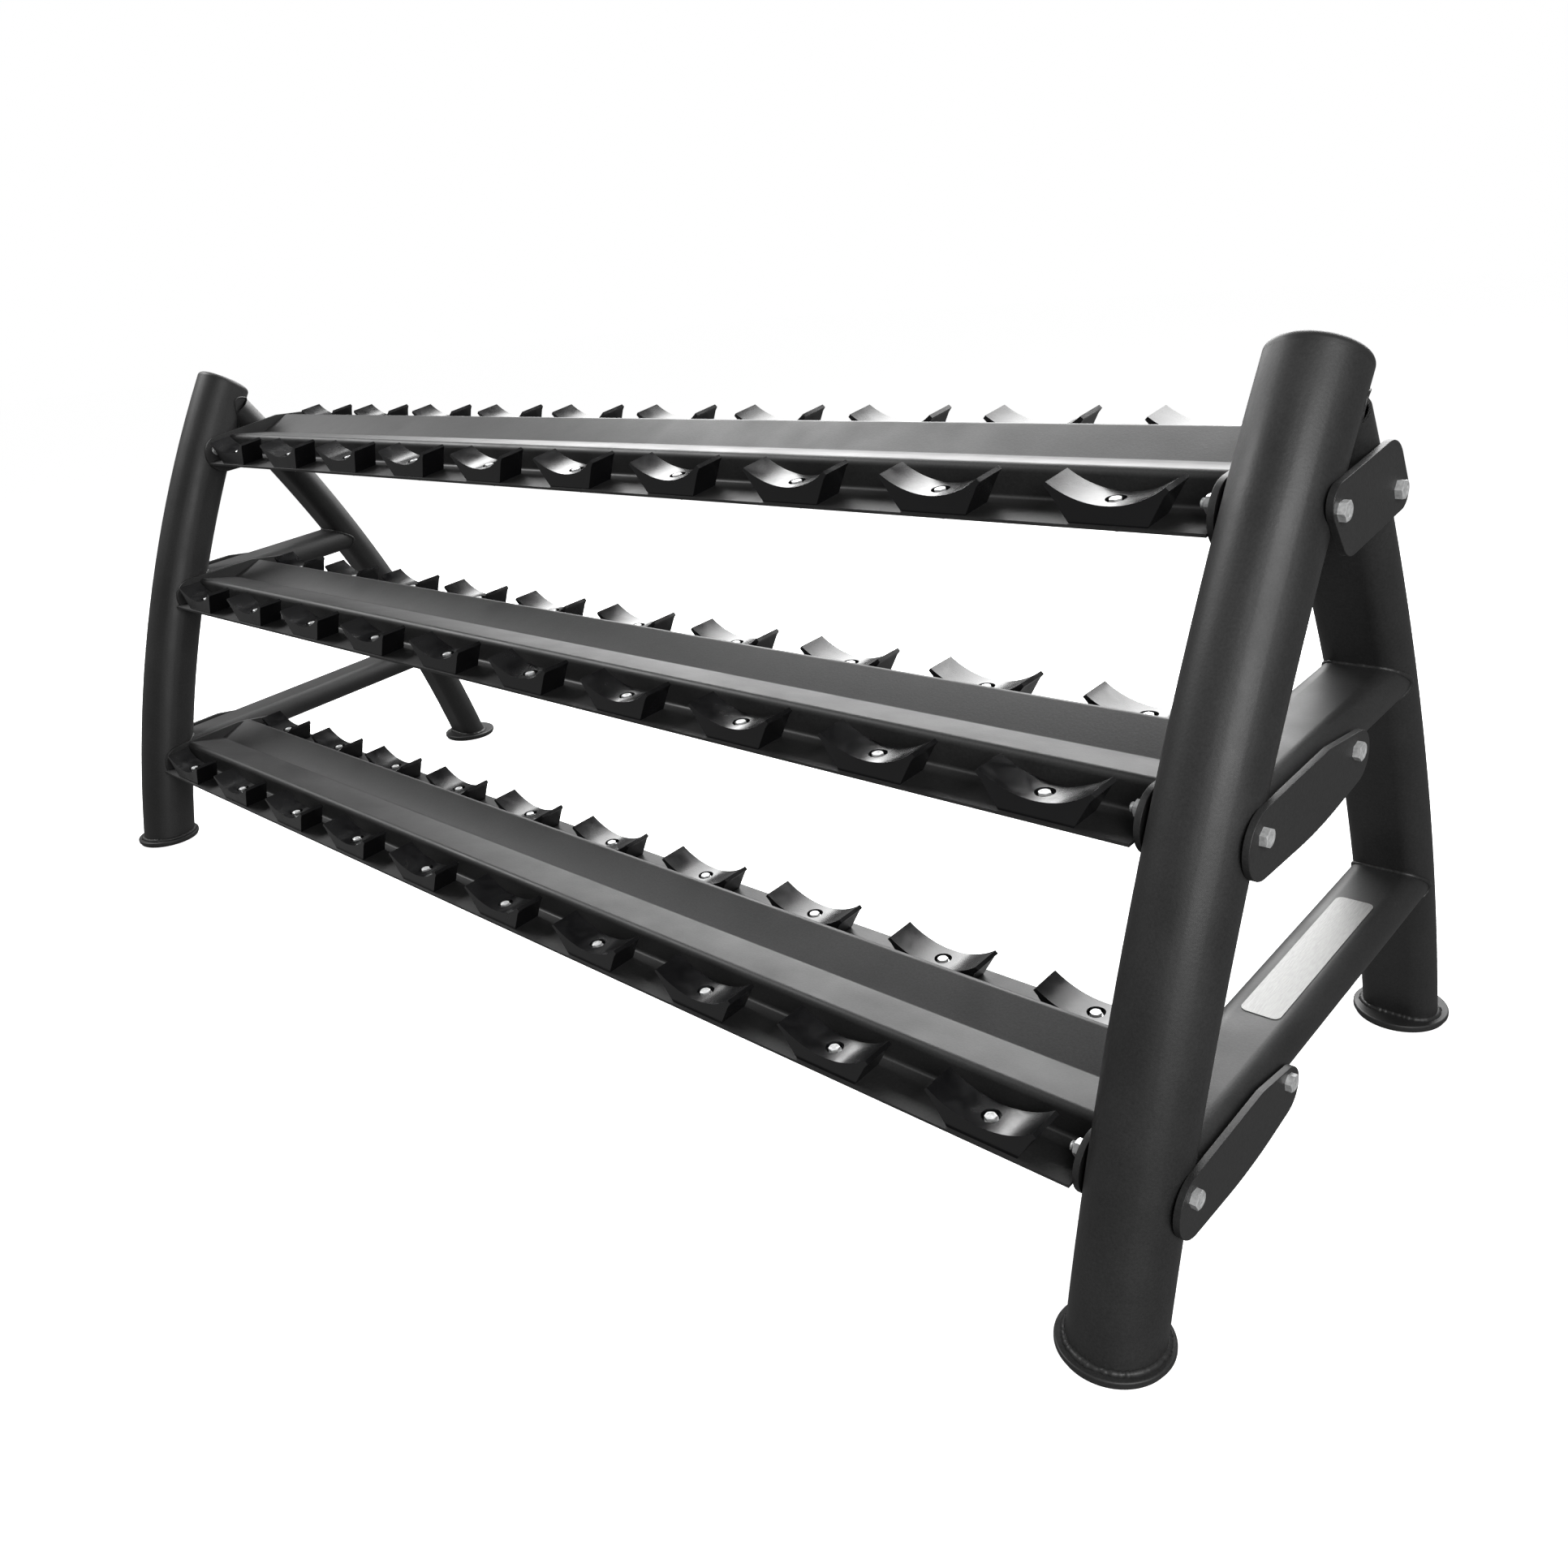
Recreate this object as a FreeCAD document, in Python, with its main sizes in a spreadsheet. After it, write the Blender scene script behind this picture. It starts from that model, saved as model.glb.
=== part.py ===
import FreeCAD, Part
import math
import os
import Sketcher
from FreeCAD import Placement, Rotation, Vector

# Three-tier dumbbell rack with moulded saddles, as a parametric document.
#
# Frame: +X along the rack, to the end with the name plate; +Y to the back; +Z up.
# The origin is on the floor, midway between the four feet. All sizes are in millimetres.
#
# Two welded end frames carry three folded steel shelves. Each end frame has a bent round
# upright, a bent flat-oval rear leg and two flat-oval rungs. A shelf is welded between two
# inner plates, and long bolts go through each inner plate, the frame and an outer plate.

# ---------------------------------------------------------------- driving dimensions

SIZES = {
    # saddles along one row, and the end frames beyond them
    "saddle_count": 10,
    "saddle_pitch": 235,
    "frame_overhang": 60,
    # feet: two at the front, two at the back
    "foot_reach": 417,
    "foot_radius": 65,
    "foot_thickness": 8,
    "pad_radius": 62,
    "pad_thickness": 4,
    # front upright: a round tube bent to one large radius, leaning back
    "upright_diameter": 108,
    "upright_wall": 4,
    "upright_bend": 3000,
    "upright_lean_foot": 10.6,
    "upright_lean_top": 30.6,
    "cap_thickness": 12,
    "cap_rounding": 9,
    # rear leg: a flat-oval tube bent to one large radius, leaning forward
    "leg_width": 104,
    "leg_depth": 60,
    "leg_wall": 3.5,
    "leg_bend": 2900,
    "leg_lean_foot": 16,
    "leg_lean_top": 36.5,
    # rungs: straight flat-oval tubes between upright and leg
    "rung_width": 101,
    "rung_depth": 52,
    "rung_wall": 3,
    # tiers, measured at the bolt that goes through the upright
    "lower_height": 197,
    "middle_height": 554,
    "top_height": 846,
    "lower_tilt": 5.5,
    "middle_tilt": 5.5,
    "top_tilt": 10.5,
    "lower_bolt_span": 223,
    "middle_bolt_span": 228,
    "rear_bolt_drop": 5,
    "top_rear_bolt_back": 6,
    "top_rear_bolt_drop": 4,
    # side plates
    "plate_thickness": 8,
    "plate_front_radius": 39,
    "plate_kink_run": 150,
    "plate_kink_radius": 14,
    "plate_tip_drop": 5,
    "plate_tip_radius": 31,
    "plate_belly_drop": 45,
    "plate_belly_radius": 600,
    "lower_plate_back": 8,
    "middle_plate_back": 8,
    "top_plate_back": 10,
    "lower_plate_drop": 15,
    "middle_plate_drop": 12,
    "top_plate_drop": 12,
    "lower_plate_span": 213,
    "middle_plate_span": 228,
    "top_plate_span": 215,
    # the short outer plate of the top tier: its four round corners
    "short_nose_back": 3,
    "short_nose_drop": -6,
    "short_nose_radius": 21,
    "short_crown_back": 122,
    "short_crown_drop": 13,
    "short_crown_radius": 40,
    "short_heel_back": 159,
    "short_heel_drop": 40,
    "short_heel_radius": 18,
    "short_toe_back": 34,
    "short_toe_drop": 28,
    "short_toe_radius": 30,
    # shelf: a folded sheet with a ledge at the front and at the back
    "sheet_thickness": 4,
    "ledge_depth": 67,
    "ledge_drop": 43,
    "front_row_back": 40,
    "valley_run": 80,
    "valley_drop": 20,
    "panel_run": 154,
    "panel_rise": 2,
    "bend_radius": 7,
    "lower_bead_rise": 22,
    "middle_bead_rise": 20,
    "top_bead_rise": 20,
    "lower_bead_back": 29,
    "middle_bead_back": 28,
    "top_bead_back": 37,
    # saddle: a moulded cradle screwed to a ledge
    "saddle_depth": 46,
    "saddle_base": 96,
    "saddle_width": 151,
    "saddle_height": 46,
    "saddle_seat": 22,
    "lip_reach": 6,
    "lip_drop": 10.5,
    "nose_run": 4,
    "nose_drop": 4,
    "screw_recess": 6,
    "screw_recess_radius": 12,
    # fasteners: M12 frame bolts and M8 saddle screws
    "bolt_diameter": 12,
    "bolt_hole": 13,
    "bolt_flats": 19,
    "bolt_head": 8,
    "bolt_nut": 10,
    "bolt_tail": 6,
    "bolt_washer_radius": 12,
    "bolt_washer": 2,
    "screw_diameter": 8,
    "screw_hole": 9,
    "screw_flats": 13,
    "screw_head": 5.5,
    "screw_nut": 6.5,
    "screw_tail": 4,
    "screw_washer_radius": 8.5,
    "screw_washer": 1.6,
    # name plate on the right lower rung
    "label_length": 290,
    "label_width": 48,
    "label_thickness": 1,
    "label_corner": 9,
    "label_run": 426,
}

doc = FreeCAD.newDocument("dumbbell_rack")
sheet = doc.addObject("Spreadsheet::Sheet", "Sizes")
for row, (alias, value) in enumerate(SIZES.items(), start=1):
    sheet.set("A%d" % row, alias)
    sheet.set("B%d" % row, str(value))
    sheet.setAlias("B%d" % row, alias)
doc.recompute()


def size(alias):
    """The value of one cell."""
    return float(sheet.get(alias))


def bind(thing, **formulas):
    """Let cells drive a thing's properties; each formula names cells as Sizes.alias."""
    for prop, formula in formulas.items():
        thing.setExpression(prop, formula)


def measure(sketch, formula, kind, *where):
    """Add a dimension to a sketch and let cells drive it."""
    index = sketch.addConstraint(Sketcher.Constraint(kind, *where, 10.0))
    sketch.setExpression("Constraints[%d]" % index, formula)


def new_sketch(body, name, role):
    """A sketch on one of its own body's origin planes."""
    plane = [f for f in body.Origin.OriginFeatures if f.Role == role][0]
    sketch = body.newObject("Sketcher::SketchObject", name)
    sketch.AttachmentSupport = (plane, [""])
    sketch.MapMode = "FlatFace"
    return sketch


nodes = []


def keep(thing, label):
    """Name a finished sub-part: its Label is also the name of its file."""
    thing.Label = label
    nodes.append(thing)
    return thing


def cut(base, tool, name):
    result = doc.addObject("Part::Cut", name)
    result.Base = base
    result.Tool = tool
    return result


def fuse(parts, name):
    result = doc.addObject("Part::MultiFuse", name)
    result.Shapes = parts
    return result


# ---------------------------------------------------------------- where things are

frame_x = size("saddle_pitch") * size("saddle_count") / 2 + size("frame_overhang")
plate_gap = size("upright_diameter") / 2
inner_plate_face = frame_x - plate_gap - size("plate_thickness")
floor_of_tubes = size("pad_thickness") + size("foot_thickness")
ENDS = (("right", 1), ("left", -1))
TIERS = ("lower", "middle", "top")


def upright_centre():
    """The upright's bend centre as (y, z); its foot point lies on the floor."""
    lean, radius = math.radians(size("upright_lean_foot")), size("upright_bend")
    return -size("foot_reach") + radius * math.cos(lean), -radius * math.sin(lean)


def leg_centre():
    """The rear leg's bend centre as (y, z); its foot point lies on the floor."""
    lean, radius = math.radians(size("leg_lean_foot")), size("leg_bend")
    return size("foot_reach") - radius * math.cos(lean), -radius * math.sin(lean)


def upright_y(z):
    """Where the upright's axis is at a height."""
    y0, z0 = upright_centre()
    return y0 - math.sqrt(size("upright_bend") ** 2 - (z - z0) ** 2)


def leg_y(z):
    """Where the rear leg's axis is at a height."""
    y0, z0 = leg_centre()
    return y0 + math.sqrt(size("leg_bend") ** 2 - (z - z0) ** 2)


class Tier:
    """One tier's places in the Y-Z plane: run along its tilted depth, rise across it."""

    def __init__(self, name):
        self.name = name
        self.tilt = size(name + "_tilt")
        self.height = size(name + "_height")
        self.front_bolt = (upright_y(self.height), self.height)
        self.bead = self.at(size(name + "_bead_back"), size(name + "_bead_rise"),
                            self.front_bolt)
        if name == "top":
            lower = self.height - size("top_rear_bolt_drop")
            self.rear_bolt = (leg_y(lower) + size("top_rear_bolt_back"), lower)
        else:
            self.rear_bolt = self.at(size(name + "_bolt_span"), -size("rear_bolt_drop"),
                                     self.front_bolt)

    def at(self, run, rise, start=None):
        """A point of the tier, measured from the shelf's front bead unless told otherwise."""
        y, z = start or self.bead
        c, s = math.cos(math.radians(self.tilt)), math.sin(math.radians(self.tilt))
        return y + run * c - rise * s, z + run * s + rise * c

    def placement(self, run, rise, x=0.0):
        """Local X along the rack, local Y along the depth, local Z across the tier."""
        y, z = self.at(run, rise)
        return Placement(Vector(x, y, z), Rotation(Vector(1, 0, 0), self.tilt))


tiers = [Tier(name) for name in TIERS]

# ---------------------------------------------------------------- tubes


def oval_outline(sketch, width, depth, lift="0"):
    """A flat oval, as two lines and two half circles, centred `lift` above the X axis."""
    first = sketch.GeometryCount
    half, end = 20.0, 30.0
    for side in (1, -1):
        centre = Vector(side * half, 0, 0)
        start = -math.pi / 2 if side > 0 else math.pi / 2
        arc = Part.ArcOfCircle(Part.Circle(centre, Vector(0, 0, 1), end), start, start + math.pi)
        sketch.addGeometry(arc)
    sketch.addGeometry(Part.LineSegment(Vector(half, end, 0), Vector(-half, end, 0)))
    sketch.addGeometry(Part.LineSegment(Vector(-half, -end, 0), Vector(half, -end, 0)))
    right, left, top, bottom = first, first + 1, first + 2, first + 3
    for one, point, other, far in (
        (right, 2, top, 1), (top, 2, left, 1), (left, 2, bottom, 1), (bottom, 2, right, 1)
    ):
        sketch.addConstraint(Sketcher.Constraint("Tangent", one, point, other, far))
    sketch.addConstraint(Sketcher.Constraint("Horizontal", top))
    sketch.addConstraint(Sketcher.Constraint("Equal", right, left))
    measure(sketch, "(%s) / 2" % depth, "Radius", right)
    measure(sketch, "((%s) - (%s)) / 2" % (width, depth), "DistanceX", -1, 1, right, 3)
    measure(sketch, "((%s) - (%s)) / 2" % (width, depth), "DistanceX", left, 3, -1, 1)
    if lift == "0":
        sketch.addConstraint(Sketcher.Constraint("PointOnObject", right, 3, -1))
    else:
        measure(sketch, lift, "DistanceY", -1, 1, right, 3)


def round_outline(sketch, diameter, lift):
    """A circle centred `lift` above the X axis."""
    circle = sketch.addGeometry(Part.Circle(Vector(0, 50, 0), Vector(0, 0, 1), 20))
    sketch.addConstraint(Sketcher.Constraint("PointOnObject", circle, 3, -2))
    measure(sketch, lift, "DistanceY", -1, 1, circle, 3)
    measure(sketch, "(%s) / 2" % diameter, "Radius", circle)


def bent_tube(name, outlines, sweep, start_angle, place):
    """Revolve a section about X: the section stands off the bend centre by its bend radius."""
    body = doc.addObject("PartDesign::Body", name)
    section = new_sketch(body, name + "_section", "XY_Plane")
    for outline in outlines:
        outline(section)
    turn = body.newObject("PartDesign::Revolution", name + "_bend")
    turn.Profile = section
    turn.ReferenceAxis = (section, ["H_Axis"])
    turn.Angle = 10
    bind(turn, Angle=sweep)
    body.Placement = Placement(place, Rotation(Vector(1, 0, 0), start_angle))
    return body


FOOT_OVERRUN = 1.0
CORE_OVERRUN = 2.0


def upright_stock(name, x, hollow):
    """The upright's stock, from a little below the floor to its top."""
    outlines = [lambda s: round_outline(s, "Sizes.upright_diameter", "Sizes.upright_bend")]
    if hollow:
        inner = "Sizes.upright_diameter - 2 * Sizes.upright_wall"
        outlines.append(lambda s: round_outline(s, inner, "Sizes.upright_bend"))
    beyond = 0 if hollow else CORE_OVERRUN
    sweep = "Sizes.upright_lean_top - Sizes.upright_lean_foot + %s" % (FOOT_OVERRUN + beyond)
    return bent_tube(name, outlines, sweep, 180 - size("upright_lean_top") - beyond,
                     Vector(x, *upright_centre()))


def leg_stock(name, x, hollow):
    """The rear leg's stock, from a little below the floor to inside the upright."""
    lift = "Sizes.leg_bend"
    outlines = [lambda s: oval_outline(s, "Sizes.leg_width", "Sizes.leg_depth", lift)]
    if hollow:
        outlines.append(lambda s: oval_outline(s, "Sizes.leg_width - 2 * Sizes.leg_wall",
                                               "Sizes.leg_depth - 2 * Sizes.leg_wall", lift))
    sweep = "Sizes.leg_lean_top - Sizes.leg_lean_foot + %s" % FOOT_OVERRUN
    return bent_tube(name, outlines, sweep, size("leg_lean_foot") - FOOT_OVERRUN,
                     Vector(x, *leg_centre()))


def rung_stock(name, x, tier):
    """A rung's stock, from the upright's axis to the rear leg's axis, through the bolts."""
    start = Vector(x, *tier.front_bolt)
    reach = tier.front_bolt
    run = 0.0
    while reach[0] < leg_y(reach[1]):
        run += 0.5
        reach = tier.at(run, 0, tier.front_bolt)
    body = doc.addObject("PartDesign::Body", name)
    section = new_sketch(body, name + "_section", "XY_Plane")
    oval_outline(section, "Sizes.rung_width", "Sizes.rung_depth")
    oval_outline(section, "Sizes.rung_width - 2 * Sizes.rung_wall",
                 "Sizes.rung_depth - 2 * Sizes.rung_wall")
    pad = body.newObject("PartDesign::Pad", name + "_length")
    pad.Profile = section
    pad.Length = run
    along_depth = Rotation(Vector(1, 0, 0), -90 + tier.tilt)
    body.Placement = Placement(start, along_depth)
    return body


def floor_block(name, x):
    """What is below the foot plates' tops, cut away from the tubes."""
    block = doc.addObject("Part::Box", name)
    block.Length, block.Width, block.Height = 400, 1400, 400
    block.Placement = Placement(Vector(x - 200, -700, floor_of_tubes - 400), Rotation())
    return block


def bolt_hole(name, x, point):
    """A clearance hole right across an end frame."""
    hole = doc.addObject("Part::Cylinder", name)
    bind(hole, Radius="Sizes.bolt_hole / 2", Height="Sizes.upright_diameter + 20")
    hole.Placement = Placement(Vector(x - plate_gap - 10, *point), Rotation(Vector(0, 1, 0), 90))
    return hole


for side, sign in ENDS:
    x = sign * frame_x
    upright_core = upright_stock("upright_core_" + side, x, hollow=False)
    leg_core = leg_stock("leg_core_" + side, x, hollow=False)
    below = floor_block("below_feet_" + side, x)
    holes = [bolt_hole("%s_front_hole_%s" % (t.name, side), x, t.front_bolt) for t in tiers]
    holes += [bolt_hole("%s_rear_hole_%s" % (t.name, side), x, t.rear_bolt) for t in tiers]
    drilled = fuse(holes + [below], "drilled_" + side)

    upright = cut(upright_stock("upright_tube_" + side, x, hollow=True), drilled,
                  "upright_cut_" + side)
    keep(upright, side + "_upright")

    leg = cut(leg_stock("leg_tube_" + side, x, hollow=True), drilled, "leg_drilled_" + side)
    keep(cut(leg, upright_core, "leg_coped_" + side), side + "_rear_leg")

    joined = fuse([upright_core, leg_core], "joined_tubes_" + side)
    for tier in tiers[:2]:
        name = "%s_rung_%s" % (tier.name, side)
        rung = cut(rung_stock(name, x, tier), drilled, name + "_drilled")
        keep(cut(rung, joined, name + "_coped"), "%s_%s_rung" % (side, tier.name))

# ---------------------------------------------------------------- caps, feet and pads


def disc(name, radius, thickness, centre):
    """A round plate standing on its lower face."""
    plate = doc.addObject("Part::Cylinder", name)
    bind(plate, Radius=radius, Height=thickness)
    plate.Placement = Placement(centre, Rotation())
    return plate


def domed_cap(name, centre, lean):
    """A round cap with a rounded rim, square on the end of the upright."""
    body = doc.addObject("PartDesign::Body", name)
    outline = new_sketch(body, name + "_outline", "XY_Plane")
    circle = outline.addGeometry(Part.Circle(Vector(0, 0, 0), Vector(0, 0, 1), 50))
    outline.addConstraint(Sketcher.Constraint("Coincident", circle, 3, -1, 1))
    measure(outline, "Sizes.upright_diameter / 2", "Radius", circle)
    pad = body.newObject("PartDesign::Pad", name + "_blank")
    pad.Profile = outline
    pad.Length = 12
    bind(pad, Length="Sizes.cap_thickness")
    doc.recompute()
    rim = body.newObject("PartDesign::Fillet", name + "_rim")
    top_edge = [i for i, e in enumerate(pad.Shape.Edges, start=1)
                if e.BoundBox.ZMin > 1 and len(e.Vertexes) == 1]
    rim.Base = (pad, ["Edge%d" % i for i in top_edge])
    rim.Radius = 5
    bind(rim, Radius="Sizes.cap_rounding")
    body.Placement = Placement(centre, Rotation(Vector(1, 0, 0), -lean))
    return body


for side, sign in ENDS:
    x = sign * frame_x
    y0, z0 = upright_centre()
    lean = math.radians(size("upright_lean_top"))
    radius = size("upright_bend")
    top = Vector(x, y0 - radius * math.cos(lean), z0 + radius * math.sin(lean))
    keep(domed_cap("cap_" + side, top, size("upright_lean_top")), side + "_upright_cap")
    for place, y in (("front", -size("foot_reach")), ("rear", size("foot_reach"))):
        foot = "%s_%s_foot_plate" % (side, place)
        keep(disc(foot + "_disc", "Sizes.foot_radius", "Sizes.foot_thickness",
                  Vector(x, y, size("pad_thickness"))), foot)
        pad = "%s_%s_foot_pad" % (side, place)
        keep(disc(pad + "_disc", "Sizes.pad_radius", "Sizes.pad_thickness",
                  Vector(x, y, 0)), pad)

# ---------------------------------------------------------------- side plates


def tangent_wire(discs):
    """A closed outline drawn tight round discs, each (run, rise, radius), taken clockwise."""
    normals = []
    for (run0, rise0, radius0), (run1, rise1, radius1) in zip(discs, discs[1:] + discs[:1]):
        gap = math.hypot(run1 - run0, rise1 - rise0)
        along = math.atan2(rise1 - rise0, run1 - run0)
        normals.append(along + math.acos((radius0 - radius1) / gap))

    def touch(disc, angle):
        run, rise, radius = disc
        return Vector(0, run + radius * math.cos(angle), rise + radius * math.sin(angle))

    edges = []
    for n, disc in enumerate(discs):
        arrive, leave = normals[n - 1], normals[n]
        leave = arrive - (arrive - leave) % (2 * math.pi)
        points = [touch(disc, angle) for angle in (arrive, (arrive + leave) / 2, leave)]
        edges.append(Part.Arc(*points).toShape())
        following = touch(discs[(n + 1) % len(discs)], leave)
        edges.append(Part.LineSegment(points[2], following).toShape())
    return Part.Wire(edges)


def long_discs(tier):
    """A long plate: round front, straight top that kinks down to a round tip, bulged below."""
    front = size("plate_front_radius")
    back, drop, span = [size("%s_plate_%s" % (tier.name, word))
                        for word in ("back", "drop", "span")]
    kink, belly = size("plate_kink_radius"), size("plate_belly_radius")
    return [
        (back, -drop, front),
        (back + size("plate_kink_run"), -drop + front - kink, kink),
        (back + span, -drop - size("plate_tip_drop"), size("plate_tip_radius")),
        (back + span / 2, -drop - size("plate_belly_drop") + belly, belly),
    ]


def short_discs():
    """The top tier's outer plate: a slanted plate with four unlike round corners."""
    return [(size("short_%s_back" % corner), -size("short_%s_drop" % corner),
             size("short_%s_radius" % corner)) for corner in ("nose", "crown", "heel", "toe")]


def side_plate(label, discs, tier, x):
    """A plate across the depth of a tier, drilled for the tier's two bolts."""
    place = Placement(Vector(x, *tier.front_bolt), Rotation(Vector(1, 0, 0), tier.tilt))
    blank = Part.Face(tangent_wire(discs)).extrude(Vector(thickness, 0, 0))
    holes = [Part.makeCylinder(size("bolt_hole") / 2, thickness,
                               place.inverse().multVec(Vector(x, *bolt)), Vector(1, 0, 0))
             for bolt in (tier.front_bolt, tier.rear_bolt)]
    plate = doc.addObject("Part::Feature", label + "_sheet")
    plate.Shape = blank.cut(Part.makeCompound(holes))
    plate.Placement = place
    keep(plate, label)


thickness = size("plate_thickness")
for side, sign in ENDS:
    inner_x = sign * inner_plate_face if sign > 0 else -inner_plate_face - thickness
    outer_x = sign * (frame_x + plate_gap) - (thickness if sign < 0 else 0)
    for tier in tiers:
        discs = long_discs(tier)
        side_plate("%s_%s_inner_plate" % (side, tier.name), discs, tier, inner_x)
        if tier.name == "top":
            discs = short_discs()
        side_plate("%s_%s_outer_plate" % (side, tier.name), discs, tier, outer_x)

# ---------------------------------------------------------------- shelves

saddle_x = [size("saddle_pitch") * (n - (size("saddle_count") - 1) / 2)
            for n in range(int(size("saddle_count")))]
ledge_top = -size("ledge_drop") + size("sheet_thickness") / 2
front_row = -size("front_row_back")
rear_row = size("panel_run") + size("ledge_depth") / 2


def rounded_path(points, radius):
    """Straight runs through the points, joined by tangent arcs of one radius."""
    edges = []
    start = points[0]
    for before, corner, after in zip(points, points[1:], points[2:]):
        a, b = (before - corner).normalize(), (after - corner).normalize()
        half = a.getAngle(b) / 2
        setback = radius / math.tan(half)
        middle = corner + (a + b).normalize() * (radius / math.sin(half) - radius)
        edges.append(Part.LineSegment(start, corner + a * setback).toShape())
        edges.append(Part.Arc(corner + a * setback, middle, corner + b * setback).toShape())
        start = corner + b * setback
    edges.append(Part.LineSegment(start, points[-1]).toShape())
    return Part.Wire(edges)


def shelf_shape():
    """The folded sheet: ledge, bead, shallow valley, panel, back edge, ledge."""
    half = size("sheet_thickness") / 2
    down = -size("ledge_drop")
    section = [
        (-size("ledge_depth"), down),
        (half, down),
        (half, 0),
        (size("valley_run"), -size("valley_drop")),
        (size("panel_run") - half, size("panel_rise")),
        (size("panel_run") - half, down),
        (size("panel_run") + size("ledge_depth"), down),
    ]
    middle = rounded_path([Vector(0, y, z) for y, z in section], size("bend_radius"))
    upper = middle.makeOffset2D(half, 0, False, True)
    face = upper.makeOffset2D(-2 * half, 0, True, True)
    length = 2 * inner_plate_face
    sheet_metal = face.extrude(Vector(length, 0, 0))
    sheet_metal.translate(Vector(-length / 2, 0, 0))
    holes = [Part.makeCylinder(size("screw_hole") / 2, 20, Vector(x, y, down - 10))
             for x in saddle_x for y in (front_row, rear_row)]
    return sheet_metal.cut(Part.makeCompound(holes))


for tier in tiers:
    shelf = doc.addObject("Part::Feature", tier.name + "_shelf_sheet")
    shelf.Shape = shelf_shape()
    shelf.Placement = tier.placement(0, 0)
    keep(shelf, tier.name + "_shelf")

# ---------------------------------------------------------------- saddles


def join_points(sketch, pairs):
    for one, point, other, far in pairs:
        sketch.addConstraint(Sketcher.Constraint("Coincident", one, point, other, far))


def saddle_profile(sketch):
    """Front view of a saddle: flat base, slanted sides, lips and a round seat."""
    right = [Vector(48, 0, 0), Vector(69, 35, 0), Vector(75, 42, 0), Vector(71, 46, 0)]
    left = [Vector(-p.x, p.y, 0) for p in right]
    base = sketch.addGeometry(Part.LineSegment(left[0], right[0]))
    for a, b in zip(right, right[1:]):
        sketch.addGeometry(Part.LineSegment(a, b))
    seat = sketch.addGeometry(Part.Arc(left[3], Vector(0, 22, 0), right[3]))
    for a, b in zip(left, left[1:]):
        sketch.addGeometry(Part.LineSegment(a, b))
    wall, under, lip = base + 1, base + 2, base + 3
    left_wall, left_under, left_lip = seat + 1, seat + 2, seat + 3
    join_points(sketch, (
        (base, 2, wall, 1), (wall, 2, under, 1), (under, 2, lip, 1), (lip, 2, seat, 2),
        (base, 1, left_wall, 1), (left_wall, 2, left_under, 1),
        (left_under, 2, left_lip, 1), (left_lip, 2, seat, 1),
    ))
    sketch.addConstraint(Sketcher.Constraint("PointOnObject", base, 1, -1))
    sketch.addConstraint(Sketcher.Constraint("Symmetric", base, 1, base, 2, -2))
    for here, there in ((wall, left_wall), (under, left_under), (lip, left_lip)):
        sketch.addConstraint(Sketcher.Constraint("Symmetric", here, 2, there, 2, -2))
    measure(sketch, "Sizes.saddle_base / 2", "DistanceX", -1, 1, base, 2)
    width, height = "Sizes.saddle_width / 2", "Sizes.saddle_height"
    for line, inset, below in (
        (wall, "Sizes.lip_reach", "Sizes.lip_drop"),
        (under, "0", "Sizes.nose_drop"),
        (lip, "Sizes.nose_run", "0"),
    ):
        measure(sketch, "%s - %s" % (width, inset), "DistanceX", -1, 1, line, 2)
        measure(sketch, "%s - %s" % (height, below), "DistanceY", -1, 1, line, 2)
    rise = "(Sizes.saddle_height - Sizes.saddle_seat)"
    radius = "((%s - Sizes.nose_run) ^ 2 + %s ^ 2) / (2 * %s)" % (width, rise, rise)
    measure(sketch, "Sizes.saddle_seat + " + radius, "DistanceY", -1, 1, seat, 3)


def saddle_body():
    """One moulded saddle: flared sides, lips, a round seat, a screw recess and hole.

    Its base is on the XY plane; X is along the rack and Y along the depth.
    """
    body = doc.addObject("PartDesign::Body", "saddle")
    profile = new_sketch(body, "saddle_profile", "XZ_Plane")
    saddle_profile(profile)
    pad = body.newObject("PartDesign::Pad", "saddle_blank")
    pad.Profile = profile
    pad.SideType = "Symmetric"
    pad.Length = 50
    bind(pad, Length="Sizes.saddle_depth")
    recess = body.newObject("PartDesign::SubtractiveCylinder", "screw_recess")
    bind(recess, Radius="Sizes.screw_recess_radius", Height="Sizes.saddle_height")
    recess.Placement = Placement(Vector(0, 0, screw_seat), Rotation())
    hole = body.newObject("PartDesign::SubtractiveCylinder", "screw_hole")
    bind(hole, Radius="Sizes.screw_hole / 2", Height="Sizes.saddle_height")
    return body


def repeat(master, label, places):
    """A group of separate, identical solids in one node."""
    group = doc.addObject("Part::Feature", label + "_group")
    shape = master.Shape.copy()
    shape.Placement = Placement()
    copies = []
    for place in places:
        one = shape.copy()
        one.Placement = place * master.Placement
        copies.append(one)
    group.Shape = Part.makeCompound(copies)
    return keep(group, label)


screw_seat = size("saddle_seat") - size("screw_recess")
saddle = saddle_body()
doc.recompute()
rows = (("front", front_row), ("rear", rear_row))
for tier in tiers:
    for row, run in rows:
        repeat(saddle, "%s_%s_saddles" % (tier.name, row),
               [tier.placement(run, ledge_top, x) for x in saddle_x])

# ---------------------------------------------------------------- fasteners


def hexagon(name, flats, height):
    """A hexagonal prism standing on the XY plane."""
    prism = doc.addObject("Part::Prism", name)
    prism.Polygon = 6
    bind(prism, Circumradius="%s / sqrt(3)" % flats, Height=height)
    return prism


def round_bar(name, radius, height, z=0.0):
    """A cylinder along Z from a height."""
    bar = doc.addObject("Part::Cylinder", name)
    bind(bar, Radius=radius, Height=height)
    bar.Placement = Placement(Vector(0, 0, z), Rotation())
    return bar


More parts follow.
